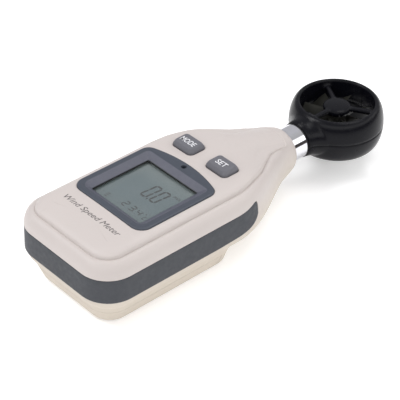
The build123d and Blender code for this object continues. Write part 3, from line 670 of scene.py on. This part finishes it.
def bumper_body(name, material, gap=0.0, outward=0.0):
    """The U-shaped band with pointed upper and round lower tip corners. gap grows it."""
    half = case_half()
    keep = half[half[:, 1] < 2]
    path = np.vstack([keep[::-1], (keep * (-1, 1))[1:]])
    lengths = np.concatenate([[0], np.cumsum(np.linalg.norm(np.diff(path, axis=0), axis=1))])
    total = lengths[-1]
    tip_y = BAND_TIP_Y + gap
    tip = np.interp(-tip_y, -path[:len(keep), 1], lengths[:len(keep)])
    near = tip + 15 * (1 - np.cos(np.linspace(0, math.pi / 2, 36)))
    middle = np.linspace(near[-1], total / 2, 46)[1:]
    first = np.concatenate([near, middle])
    stations = np.concatenate([first, (total - first[:-1])[::-1]])
    tops = ((-60, 15.67), (-13, 15.67), (-10.7, 15.70), (-8.2, 15.95), (-6.4, 16.35), (-5.2, 16.68),
            (-4.7, 16.60), (-4.35, 16.15), (-4.05, 15.3), (-3.82, 14.3), (BAND_TIP_Y, 13.2))
    lows = ((-60, 9.13), (-17, 9.13), (-10.46, 9.40), (-7.19, 9.85), (-5.9, 10.2), (-4.9, 10.7),
            (-4.2, 11.4), (-3.85, 12.2), (BAND_TIP_Y, 13.2))
    top_table, low_table = np.array(tops), np.array(lows)
    rings = []
    for s in stations:
        here = outline_station(path, lengths, s)
        ahead = outline_station(path, lengths, min(s + 0.15, total))
        behind = outline_station(path, lengths, max(s - 0.15, 0))
        run = (ahead - behind) / np.linalg.norm(ahead - behind)
        out = np.array([-run[1], run[0]])
        if np.dot(out, here - (0, -25)) < 0:
            out = -out
        y = min(here[1] - gap, BAND_TIP_Y)
        top = np.interp(y, top_table[:, 0], top_table[:, 1]) + gap
        low = np.interp(y, low_table[:, 0], low_table[:, 1]) - gap
        size = min(1.0, (top - low) / 1.2)
        section = [(top, BAND_ROOT - gap)]
        section += [(top - d * size, o * size + outward) for d, o in
                    ((0.0, -0.22), (0.05, -0.10), (0.14, -0.025), (0.28, 0.0))]
        for share in (0.25, 0.5, 0.75):
            section.append((top + (low - top) * share, 0.130 * share * size + outward))
        section += [(low + d * size, o * size + outward) for d, o in
                    ((0.30, 0.135), (0.12, 0.11), (0.03, 0.04), (0.0, -0.08))]
        section.append((low, BAND_ROOT - gap))
        rings.append([(*(here + out * o), z) for z, o in section])
    return rings_object(name, rings, material, merge=0.004)


# ------------------------------------------------------------------ hump and battery cover
def hump_body(name, z_high, material=None):
    """The battery hump from the resting face up, with a soft lower edge."""
    soft = 1.1
    rings = []
    heights = [soft * (1 - math.cos(a)) for a in np.linspace(0, math.pi / 2, 8)]
    heights += list(np.linspace(soft, z_high, 12)[1:])
    for z in heights:
        t = z / HUMP_ROOT_Z
        edge = soft - math.sqrt(max(0.0, soft**2 - max(0.0, soft - z)**2))
        half = 13.4 + 3.5 * t - edge
        low = -48.4 - 3.5 * t + edge
        high = -9.0 + 3.9 * t**2.6 + 0.6 * t - edge
        radius = 4.9 + 2.7 * t - 0.6 * edge
        rings.append(at_height(rounded_rect(half, low, high, radius, 12), z))
    return rings_object(name, rings, material)


def rear_rows():
    """Rows of the rear case: a short upright wall and a round belly."""
    rows = [(0.0, 0.0, 0), (0.0, 1.0, 0), (0.04, 1.8, 0)]
    for a in np.linspace(0, math.pi / 2, 11)[1:]:
        rows.append((0.04 + 3.4 * (1 - math.cos(a)), 1.8 + 4.5 * math.sin(a), 0))
    fill = [(share, 0.0) for share in (0.25, 0.5, 0.75, 1.0)]
    return rows, fill


def rail_blocks(grow):
    """The two T-shaped rails of the battery cover, or with grow the slots round them."""
    blocks = []
    ends = (RAIL_ENDS[0] - grow, 0.0 if grow else RAIL_ENDS[1])
    for side in (-1, 1):
        x = side * RAIL_X
        blocks.append(box((x - 0.5 - grow, x + 0.5 + grow), ends, (2.4 - grow, 4.4 + 2 * grow)))
        blocks.append(box((x - 0.9 - grow, x + 0.9 + grow), ends, (2.4 - grow, 3.1 + grow)))
    return blocks


def build_case(material):
    """Both case halves, carved as in the CAD, and the battery cover."""
    # the front half: cavity, room for the display, bezel seat, window, sensor port, neck, band
    front = shell_body("front_case_skin", *front_rows(), 1, material)
    cuts = [prism(cavity_loop(), SPLIT_Z - 1, UPPER_CAVITY_Z),
            prism(rounded_rect(12.6, -47.0, -1.2, 3.0), UPPER_CAVITY_Z - 0.1, FACE_UNDERSIDE_Z),
            prism(bezel_loop(0.07), BEZEL_SEAT_Z, 24),
            prism(rounded_rect(10.3, -36.2, -15.4, 0.6), FACE_UNDERSIDE_Z - 0.1, BEZEL_SEAT_Z + 0.1),
            post(0, PORT_Y, FACE_UNDERSIDE_Z - 0.1, 24, PORT_RADIUS),
            neck_rod(6.0, 22.0, TUBE_RADIUS + 0.03),
            bumper_body("cut", None, gap=BAND_FIT, outward=1.0)]
    for x in (-KEY_X, KEY_X):
        cuts.append(prism(rounded_rect(3.70, KEY_Y - 2.85, KEY_Y + 2.85, 1.45, x=x),
                          FACE_UNDERSIDE_Z - 0.1, 24))
    carve(front, cuts)
    # the rear half: hump; cavity, electronics pocket, battery well, contact slots, neck, band
    rear = shell_body("rear_case_skin", *rear_rows(), -1, material)
    hump = hump_body("cut", 9.6)
    carve(hump, [box((-20, 20), (-60, COVER_END_Y), (-1, COVER_Z))])
    carve(rear, [hump], "UNION")
    cuts = [prism(cavity_loop(), ROOF_TOP_Z, SPLIT_Z + 1),
            prism(rounded_rect(9.0, -12.0, 1.5, 2.0), 7.2, ROOF_TOP_Z + 0.1),
            post(0, CELL_Y, COVER_Z - 1, WELL_TOP_Z, WELL_RADIUS),
            box((-1.2, 1.2), (CELL_Y - 0.5, CELL_Y + 0.5), (8.0, 12.5)),
            box((-1.7, 1.7), (-19.9, -19.0), (COVER_Z, 12.5)),
            neck_rod(6.0, 22.0, TUBE_RADIUS + 0.03),
            bumper_body("cut", None, gap=BAND_FIT, outward=1.0)]
    for x, y in CASE_SCREWS:
        cuts += [post(x, y, COVER_Z - 1, 6.4, 2.0), post(x, y, 6.3, 12.5, 1.05)]
    for x, y in NECK_SCREWS:
        cuts += [post(x, y, 3.6, 7.4, 1.75), post(x, y, 7.3, 12.5, 1.05)]
    carve(rear, cuts)
    carve(rear, rail_blocks(0.0), "UNION")
    # the cover is the hump below its parting line, with a pocket, rail slots and thumb ribs
    cover = hump_body("battery_cover_skin", 8.0, material)
    cuts = [box((-20, 20), (-60, 0), (COVER_Z - 0.08, 20)),
            box((-20, 20), (COVER_END_Y - 0.12, 0), (-1, 20)),
            prism(rounded_rect(10.4, -46.5, -16.0, 3.0), 1.5, 8)]
    cuts += rail_blocks(0.2)
    for rib in range(GRIP_RIBS):
        y = -45.0 + 1.6 * rib
        cuts.append(prism(rounded_rect(5.0, y - 0.35, y + 0.35, 0.34, 4), -1, 0.4))
    carve(cover, cuts)
    placed(front, "instrument", "shell", "front_case")
    placed(rear, "instrument", "shell", "rear_case")
    placed(cover, "battery_door", "shell", "battery_cover")
    return front


# ------------------------------------------------------------------ display
def bezel_loop(grow):
    """Plan of the bezel: straight sides and base, arched towards the keys."""
    return arched_loop(BEZEL_HALF + grow, BEZEL_LOW_Y - grow, -14.0 + 0.6 * grow, -11.55 + grow,
                       3.1 + grow, 2.6 + grow)


def arched_loop(half, low, side_y, arch_y, low_radius, high_radius):
    """Rounded rectangle whose high-y side is a shallow arch, counter-clockwise."""
    steps = 9
    def arch(x):
        return arch_y - (arch_y - side_y) * (x / half)**2
    slope = math.atan(2 * (arch_y - side_y) / half)
    turn = math.pi / 2 - slope
    reach = high_radius * math.tan(turn / 2)
    loop = []
    for a in np.linspace(-math.pi / 2, 0, steps):
        loop.append((half - low_radius + low_radius * math.cos(a),
                     low + low_radius + low_radius * math.sin(a)))
    centre = (half - high_radius, side_y - reach)
    for a in np.linspace(0, turn, steps):
        loop.append((centre[0] + high_radius * math.cos(a), centre[1] + high_radius * math.sin(a)))
    left = [(-x, y) for x, y in reversed(loop)]
    start_x, start_y = loop[-1]
    lift = start_y - arch(start_x)
    for x in np.linspace(start_x, -start_x, 26)[1:-1]:
        loop.append((x, arch(x) + lift * (x / start_x)**2))
    return loop + left


def build_bezel(material, frame_material, painted_shade_wall):
    """Bezel with softly rounded edges and a sloping frame round the window; the opening's inner wall is
    black, as painted shade of a deep gap.
    """
    half, low, high = VIEW
    rings = [at_height(bezel_loop(grow), z) for grow, z in (
        (0, 20.32), (0, 21.45), (-0.04, 21.62), (-0.16, 21.74), (-0.34, 21.79))]
    for half_x, y_low, y_high, r_low, r_high, z in (
            (10.90, -36.00, -14.80, 2.2, 1.1, 21.80), (10.80, -35.92, -14.90, 2.1, 1.0, 21.75),
            (8.98, -34.56, -16.58, 0.5, 0.45, 20.78), (8.86, -34.45, -16.73, 0.42, 0.38, 20.70),
            (half, low, high, 0.35, 0.35, 20.62), (half, low, high, 0.35, 0.35, 20.32)):
        rings.append(at_height(arched_loop(half_x, y_low, y_high, y_high, r_low, r_high), z))
    bezel = rings_object("bezel_ring", rings, material, closed=True, sharp=50)
    carve(bezel, [post(0, PORT_Y, 20, 24, PORT_RADIUS)])
    bezel.data.materials.append(frame_material)
    bezel.data.materials.append(painted_shade_wall)
    # the sloping frame gets the frame finish; the opening's inner wall gets black, painted shade for the
    # deep gap round the window
    for face in bezel.data.polygons:
        x, y, z = (c / MM for c in face.center)
        inside = abs(x) < 10.85 and -36 < y < -14.85
        if inside and 20.79 < z < 21.74 and face.normal.z < 0.97:
            face.material_index = 1
        elif abs(x) < 8.95 and -34.6 < y < -16.6 and z < 20.69:
            face.material_index = 2
    placed(bezel, "instrument", "bezel", "display_bezel")


def segment(x, y, length, width, upright):
    """One bar of a digit with mitred ends."""
    half, mid = length / 2, width / 2
    loop = [(-half, 0), (-half + mid, -mid), (half - mid, -mid), (half, 0), (half - mid, mid),
            (-half + mid, mid)]
    if upright:
        loop = [(-b, a) for a, b in loop]
    return [(x + a, y + b) for a, b in loop]


SEGMENTS = {"0": "abcdef", "2": "abged", "3": "abgcd", "4": "fgbc", "C": "afed"}


def digit_bars(character, x, y, width, height, bar, lean):
    """Bars of a 7-segment digit with its lower left corner at (x, y)."""
    gap = bar * 0.16
    half = height / 2
    layout = {"a": (width / 2, height, 0), "g": (width / 2, half, 0), "d": (width / 2, 0, 0),
              "f": (0, half * 1.5, 1), "b": (width, half * 1.5, 1),
              "e": (0, half * 0.5, 1), "c": (width, half * 0.5, 1)}
    bars = []
    for name in SEGMENTS[character]:
        cx, cy, upright = layout[name]
        length = (half if upright else width) - 2 * gap
        loop = segment(cx, cy, length, bar, upright)
        bars.append([(x + a + lean * b, y + b) for a, b in loop])
    return bars


def node_plan(node, inset, radius):
    """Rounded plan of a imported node, drawn in by inset."""
    low, high = corners(node)
    return rounded_rect(high[0] - inset, low[1] + inset, high[1] - inset, radius)


def build_display(lcd, ink, clear):
    """Display glass just under the window, its digits and unit signs, and the clear window."""
    plan = node_plan("lcd_glass", 0.1, 0.3)
    glass = rings_object("lcd_glass_block", [at_height(plan, z) for z in (17.2, LCD_TOP_Z)], lcd)
    placed(glass, "instrument", "lcd", "lcd_glass")
    bars = digit_bars("0", -0.75, -26.3, 1.75, 5.1, 0.5, 0.09)
    bars += digit_bars("0", 2.35, -26.3, 1.75, 5.1, 0.5, 0.09)
    bars.append(rounded_rect(0.27, -26.55, -26.05, 0.2, 3, x=1.68))
    for character, x in (("2", -0.75), ("3", 1.75), ("4", 4.0)):
        bars += digit_bars(character, x, -32.2, 1.25, 1.8, 0.28, 0.09)
    bars += digit_bars("C", 6.75, -32.3, 0.7, 1.0, 0.2, 0.06)
    bars.append(rounded_rect(0.17, -30.7, -30.36, 0.16, 3, x=6.45))
    bars.append(rounded_rect(0.15, -32.42, -32.12, 0.14, 3, x=3.45))
    for y in (-33.0, -32.4, -31.8):
        bars.append(rounded_rect(0.55, y, y + 0.22, 0.1, 2, x=-5.6))
    digits = join([prism(bar, LCD_TOP_Z, INK_TOP_Z) for bar in bars])
    digits.name = "lcd_digits"
    digits.data.materials.append(ink)
    placed(digits, "instrument", "lcd")
    unit = flat_text("lcd_unit", "m/s", 1.5, (6.5, -20.9), LCD_TOP_Z, INK_TOP_Z, ink)
    placed(unit, "instrument", "lcd")
    plan = node_plan("display_window", 0.05, 0.4)
    window = rings_object("clear_window", [at_height(plan, z) for z in WINDOW_Z], clear)
    placed(window, "instrument", "window", "display_window")


# ------------------------------------------------------------------ lettering
def flat_text(name, words, size, middle, z_low, z_high, material, lean=0.0, width=None, weight=0.0):
    """Raised lettering between two heights, centred on middle; width stretches it to fit."""
    curve = bpy.data.curves.new(name, "FONT")
    curve.body = words
    curve.size = size
    curve.shear = lean
    curve.offset = weight
    curve.extrude = 0.5
    curve.align_x = "CENTER"
    curve.align_y = "CENTER"
    curve.resolution_u = 5
    maker = bpy.data.objects.new(name, curve)
    bpy.context.scene.collection.objects.link(maker)
    bpy.context.view_layer.update()
    graph = bpy.context.evaluated_depsgraph_get()
    mesh = bpy.data.meshes.new_from_object(maker.evaluated_get(graph))
    bpy.data.objects.remove(maker)
    spot = np.array([v.co[:] for v in mesh.vertices])
    low, high = spot[:, :2].min(0), spot[:, :2].max(0)
    centre = (low + high) / 2
    stretch = width / (high[0] - low[0]) if width else 1.0
    verts = []
    for x, y, z in spot:
        verts.append((middle[0] + (x - centre[0]) * stretch, middle[1] + y - centre[1],
                      z_high if z > 0 else z_low))
    faces = [tuple(p.vertices) for p in mesh.polygons]
    bpy.data.meshes.remove(mesh)
    return make_object(name, verts, faces, material, merge=0.00001, sharp=30)


def height_over(surface):
    """A function that looks down on a surface and gives its height, all in metres."""
    tree = BVHTree.FromObject(surface, bpy.context.evaluated_depsgraph_get())
    return lambda x, y: tree.ray_cast(Vector((x, y, 0.03)), Vector((0, 0, -1)))[0].z


def drape(thing, surface, lift, sink):
    """Lays thin lettering on a surface: tops lift above it, undersides sink below it."""
    height = height_over(surface)
    heights = [v.co.z for v in thing.data.vertices]
    middle = (min(heights) + max(heights)) / 2
    for vertex in thing.data.vertices:
        offset = lift if vertex.co.z > middle else -sink
        vertex.co.z = height(vertex.co.x, vertex.co.y) + offset * MM


# ------------------------------------------------------------------ keys
def build_key(name, x, legend, width, material, ink, body, cad_nodes):
    """A key with sloping sides, a slightly dished top and a printed legend."""
    def level(half_x, half_y, radius, z):
        return at_height(rounded_rect(half_x, KEY_Y - half_y, KEY_Y + half_y, radius, 8, x=x), z)
    rings = [level(4.2, 3.25, 1.2, KEY_FLANGE_Z + 0.02), level(4.2, 3.25, 1.2, KEY_FLANGE_Z + 0.7),
             level(3.48, 2.62, 1.05, KEY_FLANGE_Z + 0.72)]
    # half sizes, corner radius and depth under the top, up the sides and over the dished top
    for half_x, half_y, radius, depth in (
            (3.48, 2.62, 1.05, 1.00), (3.46, 2.60, 1.04, 0.90), (3.40, 2.54, 1.0, 0.81),
            (3.02, 2.15, 0.84, 0.15), (2.95, 2.08, 0.80, 0.07), (2.84, 1.97, 0.74, 0.02),
            (2.5, 1.7, 0.6, 0.0), (1.6, 1.0, 0.4, 0.01), (0.6, 0.4, 0.2, 0.02)):
        rings.append(level(half_x, half_y, radius, KEY_TOP_Z - depth))
    key = rings_object(name, rings, material, sharp=45)
    placed(key, body, "key", cad_nodes)
    words = flat_text(name + "_legend", legend, 2.35, (x, KEY_Y - 0.15), KEY_TOP_Z - 0.05,
                      KEY_TOP_Z - 0.001, ink, width=width, weight=0.02)
    placed(words, body, "key")


# ------------------------------------------------------------------ vane head
def head_profile(sign):
    """Closed section of one half of the head's ring."""
    top = HEAD_HALF_HEIGHT
    points = [(DUCT_RADIUS, SPLIT_Z + sign * 0.02), (DUCT_RADIUS, SPLIT_Z + sign * (top - 0.42))]
    for a in np.linspace(math.pi, math.pi / 2, 7)[1:]:
        points.append((LIP_RADIUS + (LIP_RADIUS - DUCT_RADIUS) * math.cos(a),
                       SPLIT_Z + sign * (top - 0.42 + 0.42 * math.sin(a))))
    bulge = HEAD_RADIUS - LIP_RADIUS
    for a in np.linspace(0, math.pi / 2, 30)[1:-1]:
        points.append((LIP_RADIUS + bulge * math.sin(a)**1.04,
                       SPLIT_Z + sign * top * math.cos(a)**1.04))
    points += [(HEAD_RADIUS, SPLIT_Z + sign * 0.10), (HEAD_RADIUS - 0.09, SPLIT_Z + sign * 0.02)]
    return points


def spoke(angle, sign):
    """One spoke of a guard, flaring where it meets the ring."""
    c, s = math.cos(math.radians(angle)), math.sin(math.radians(angle))
    rings = []
    for r in (2.6, 3.6, 4.6, 6.0, 7.4, 8.3, 8.9, 9.4, 9.75, 10.0):
        flare = max(0.0, (r - 8.0) / 2.0)
        half = 0.66 + 0.75 * flare**2 + 0.5 * max(0.0, (4.4 - r) / 1.8)**2
        z_face, z_inner = SPLIT_Z + sign * 4.72, SPLIT_Z + sign * 3.62
        section = []
        for w, lift in ((-1.0, 0.45), (-0.93, 0.16), (-0.7, 0.03), (0, 0), (0.7, 0.03), (0.93, 0.16),
                        (1.0, 0.45)):
            section.append((w * half, z_face - sign * lift))
        section += [(0.8 * half, z_inner), (-0.8 * half, z_inner)]
        rings.append([(r * c - w * s, HEAD_Y + r * s + w * c, z) for w, z in section])
    return rings_object("cut", rings)


def hub(sign):
    """Domed hub cap of a guard."""
    base, top = SPLIT_Z + sign * 3.05, SPLIT_Z + sign * 4.85
    profile = [(0, base), (3.5, base), (3.64, base + sign * 0.8)]
    for a in np.linspace(0, math.pi / 2, 8):
        profile.append((2.94 + 0.7 * math.cos(a), top - sign * 0.72 + sign * 0.58 * math.sin(a)))
    profile += [(2.1, top - sign * 0.07), (1.1, top - sign * 0.02), (0, top)]
    return revolved("cut", profile, (0, HEAD_Y), count=72)


def build_head(material):
    """Upper and lower shells of the vane head, each a ring, half the boss and a guard."""
    for sign, node in ((1, "head_upper_shell"), (-1, "head_lower_shell")):
        ring = revolved(node + "_skin", head_profile(sign), (0, HEAD_Y), material)
        # the boss flares from the neck tube into the ring
        boss = rings_object("cut", [neck_ring(BOSS_START_Y + along, wide, high)
                                    for along, wide, high in BOSS_SECTIONS])
        z_keep = (SPLIT_Z + 0.03, SPLIT_Z + 8) if sign > 0 else (SPLIT_Z - 8, SPLIT_Z - 0.03)
        carve(boss, [box((-12, 12), (20, 34), z_keep)], "INTERSECT")
        carve(ring, [boss], "UNION")
        carve(ring, [post(0, HEAD_Y, SPLIT_Z - 8, SPLIT_Z + 8, DUCT_RADIUS + 0.01),
                     neck_rod(20, TUBE_END_Y + 0.05, TUBE_RADIUS + 0.02)])
        guard = hub(sign)
        carve(guard, [spoke(angle, sign) for angle in SPOKE_ANGLES], "UNION")
        bearing_seat = sorted((SPLIT_Z, SPLIT_Z + sign * 4.2))
        carve(guard, [post(0, HEAD_Y, *bearing_seat, 1.35)])
        carve(ring, [guard], "UNION")
        placed(ring, "instrument", "head", node)


def blade(number):
    """One thin helical blade, thinner towards its upper and lower edges."""
    radii = np.linspace(2.45, BLADE_RADIUS, 10)
    rings = []
    for level in np.linspace(-1, 1, 13):
        turn = math.radians(number * 360 / BLADES + BLADE_PHASE - BLADE_TWIST * level)
        c, s = math.cos(turn), math.sin(turn)
        half = 0.20 * (1 - 0.75 * level**4)
        z = SPLIT_Z + 2.4 * level
        ring = [(r * c - half * s, HEAD_Y + r * s + half * c, z) for r in radii]
        ring += [(r * c + half * s, HEAD_Y + r * s - half * c, z) for r in radii[::-1]]
        rings.append(ring)
    return rings_object("cut", rings, sharp=60)


def build_impeller(material):
    """Hub with a rounded rim, and its blades."""
    low, high = VANE_LOW_Z, VANE_HIGH_Z
    profile = [(0, low), (2.3, low), (2.52, low + 0.1), (2.6, low + 0.35), (2.6, high - 0.35),
               (2.52, high - 0.1), (2.3, high), (0.9, high), (0.8, high - 0.2), (0, high - 0.2)]
    hub_part = revolved("impeller_skin", profile, (0, HEAD_Y), material, count=64)
    impeller = join([hub_part] + [blade(number) for number in range(BLADES)])
    smooth(impeller.data, 60)
    placed(impeller, "vane", "vane", "impeller")


def build_neck_tube(material):
    """Plated tube between the case and the head."""
    outer, inner = TUBE_RADIUS, TUBE_RADIUS - 0.6
    profile = [(inner, TUBE_START_Y), (outer, TUBE_START_Y), (outer, TUBE_END_Y), (inner, TUBE_END_Y)]
    tube = revolved("plated_tube", profile, (0, SPLIT_Z), material, along_y=True)
    placed(tube, "instrument", "chrome", "neck_tube")


def build_neck_seal(material):
    """Thin black ring where the tube meets the head."""
    inner, outer = TUBE_RADIUS + 0.01, TUBE_RADIUS + 0.06
    low, high = BOSS_START_Y - 0.25, BOSS_START_Y - 0.01
    profile = [(inner, low), (outer - 0.03, low), (outer, low + 0.05), (outer, high), (inner, high)]
    seal = revolved("neck_seal_ring", profile, (0, SPLIT_Z), material, along_y=True)
    placed(seal, "instrument", "seal", "neck_seal")


def bead_line(surface):
    """Rings of the fine bead that closes the panel's foot across the neck."""
    height = height_over(surface)
    half = ((6.35, 12.4), (5.95, 13.9), (5.5, 15.4), (4.95, 16.5), (3.9, 17.1), (2.0, 17.36))
    path = through(half + ((0, 17.4),) + tuple((-x, y) for x, y in half[::-1]), 8)
    spots = [np.array([x, y, height(x * MM, y * MM) / MM]) for x, y in path]
    rings = []
    for i, spot in enumerate(spots):
        run = spots[min(i + 1, len(spots) - 1)] - spots[max(i - 1, 0)]
        run /= np.linalg.norm(run)
        side = np.cross(run, (0, 0, 1.0))
        side /= np.linalg.norm(side)
        up = np.cross(side, run)
        radius = 0.16 * min(1.0, (i + 0.4) / 12, (len(spots) - 0.6 - i) / 12)
        rings.append([spot + radius * (math.cos(a) * 1.5 * side + math.sin(a) * 0.8 * up)
                      for a in np.linspace(0, 2 * math.pi, 10, endpoint=False)])
    return rings


# ------------------------------------------------------------------ finishes and assembly
# Dust colours below also paint shade into inner corners
# the shell's yellowish low tint is painted bounce light
SHELL = moulded("shell_abs", (0.575, 0.522, 0.498), 0.48, grain=0.005, edge=0.045, mottle=0.012,
                dust_and_shade=(0.30, 0.24, 0.19), worn=(0.545, 0.492, 0.465), painted_bounce_light=(0.59, 0.525, 0.44))
BUMPER = moulded("bumper_rubber", (0.055, 0.059, 0.068), 0.58, grain=0.010, edge=0.16, mottle=0.05,
                 dust_and_shade=(0.03, 0.032, 0.038), worn=(0.066, 0.071, 0.082), specular=0.35)
BEZEL = moulded("bezel_abs", (0.055, 0.064, 0.084), 0.42, grain=0.012, edge=0.10, mottle=0.05,
                worn=(0.07, 0.08, 0.10), grain_scale=4200, specular=0.45)
FRAME = moulded("bezel_frame", (0.094, 0.098, 0.128), 0.50, grain=0.030, edge=0.03, mottle=0.06,
                worn=(0.125, 0.13, 0.16), grain_scale=2600, specular=0.5)
KEY = moulded("key_rubber", (0.142, 0.142, 0.160), 0.55, grain=0.009, edge=0.18, mottle=0.04,
              dust_and_shade=(0.05, 0.05, 0.055), worn=(0.135, 0.135, 0.148), specular=0.4)
HEAD = moulded("head_abs", (0.0030, 0.0031, 0.0054), 0.24, grain=0.0004, edge=1.1, mottle=0.05,
               specular=0.17)
VANE = moulded("vane_plastic", (0.024, 0.0235, 0.020), 0.5, grain=0.001, edge=0.05, mottle=0.08,
               specular=0.10)
PRINT = moulded("grey_print", (0.105, 0.095, 0.095), 0.5, grain=0.003, edge=0.01, mottle=0.05)
LEGEND = moulded("white_print", (0.78, 0.78, 0.80), 0.5, grain=0.003, edge=0.01, mottle=0.02)
LCD_INK = moulded("lcd_ink", (0.062, 0.060, 0.058), 0.4, grain=0.001, edge=0.01, mottle=0.05)
BLACK = moulded("seal_rubber", (0.012, 0.012, 0.012), 0.5, grain=0.004, edge=0.05)
BOARD = moulded("board_green", (0.02, 0.10, 0.045), 0.35, grain=0.004, edge=0.05)
CHIP = moulded("chip_epoxy", (0.02, 0.02, 0.022), 0.45, grain=0.004, edge=0.05)
WIRE = moulded("wire_pvc", (0.30, 0.03, 0.025), 0.4, grain=0.002, edge=0.02)
CHROME = metal("chrome_plate", (0.76, 0.76, 0.79), 0.06)
STEEL = metal("steel", (0.55, 0.55, 0.56), 0.28, edge=0.08)
BRASS = metal("brass", (0.70, 0.50, 0.20), 0.3)
JEWEL = moulded("bearing_jewel", (0.35, 0.02, 0.04), 0.15, grain=0.001, edge=0.04)
MAGNET = metal("magnet_nickel", (0.45, 0.44, 0.42), 0.3)
CLEAR = clear_material("window_acrylic")

SLOT_FINISH = {"shell": SHELL, "bumper": BUMPER, "bezel": BEZEL, "key": KEY, "head": HEAD,
               "vane": VANE, "seal": BLACK, "board": BOARD, "chip": CHIP, "wire": WIRE,
               "chrome": CHROME, "steel": STEEL, "brass": BRASS, "jewel": JEWEL, "magnet": MAGNET}

add_studio()
add_camera()

for part in frame["record"]["subparts"]:
    finish = SLOT_FINISH.get(part["material_slot"])
    if finish:
        cad = nodes[part["node"]].data
        cad.materials.clear()
        cad.materials.append(finish)

case_front = build_case(SHELL)
bumper = bumper_body("bumper_band", BUMPER)
placed(bumper, "instrument", "bumper", "side_bumper")
build_bezel(BEZEL, FRAME, BLACK)
build_display(display_material(), LCD_INK, CLEAR)
build_key("mode_key_cap", -KEY_X, "MODE", 4.7, KEY, LEGEND, "mode_key", "mode_button")
build_key("set_key_cap", KEY_X, "SET", 3.3, KEY, LEGEND, "set_key", "set_button")
build_head(HEAD)
build_impeller(VANE)
build_neck_tube(CHROME)
build_neck_seal(BLACK)
title = flat_text("title_print", "Wind Speed Meter", 2.3, (-0.1, -41.6), 21.0, 21.5, PRINT, lean=0.22,
                  width=19.9)
drape(title, case_front, 0.012, 0.05)
placed(title, "instrument", "shell")
bead = rings_object("panel_bead", bead_line(case_front), SHELL)
placed(bead, "instrument", "shell")
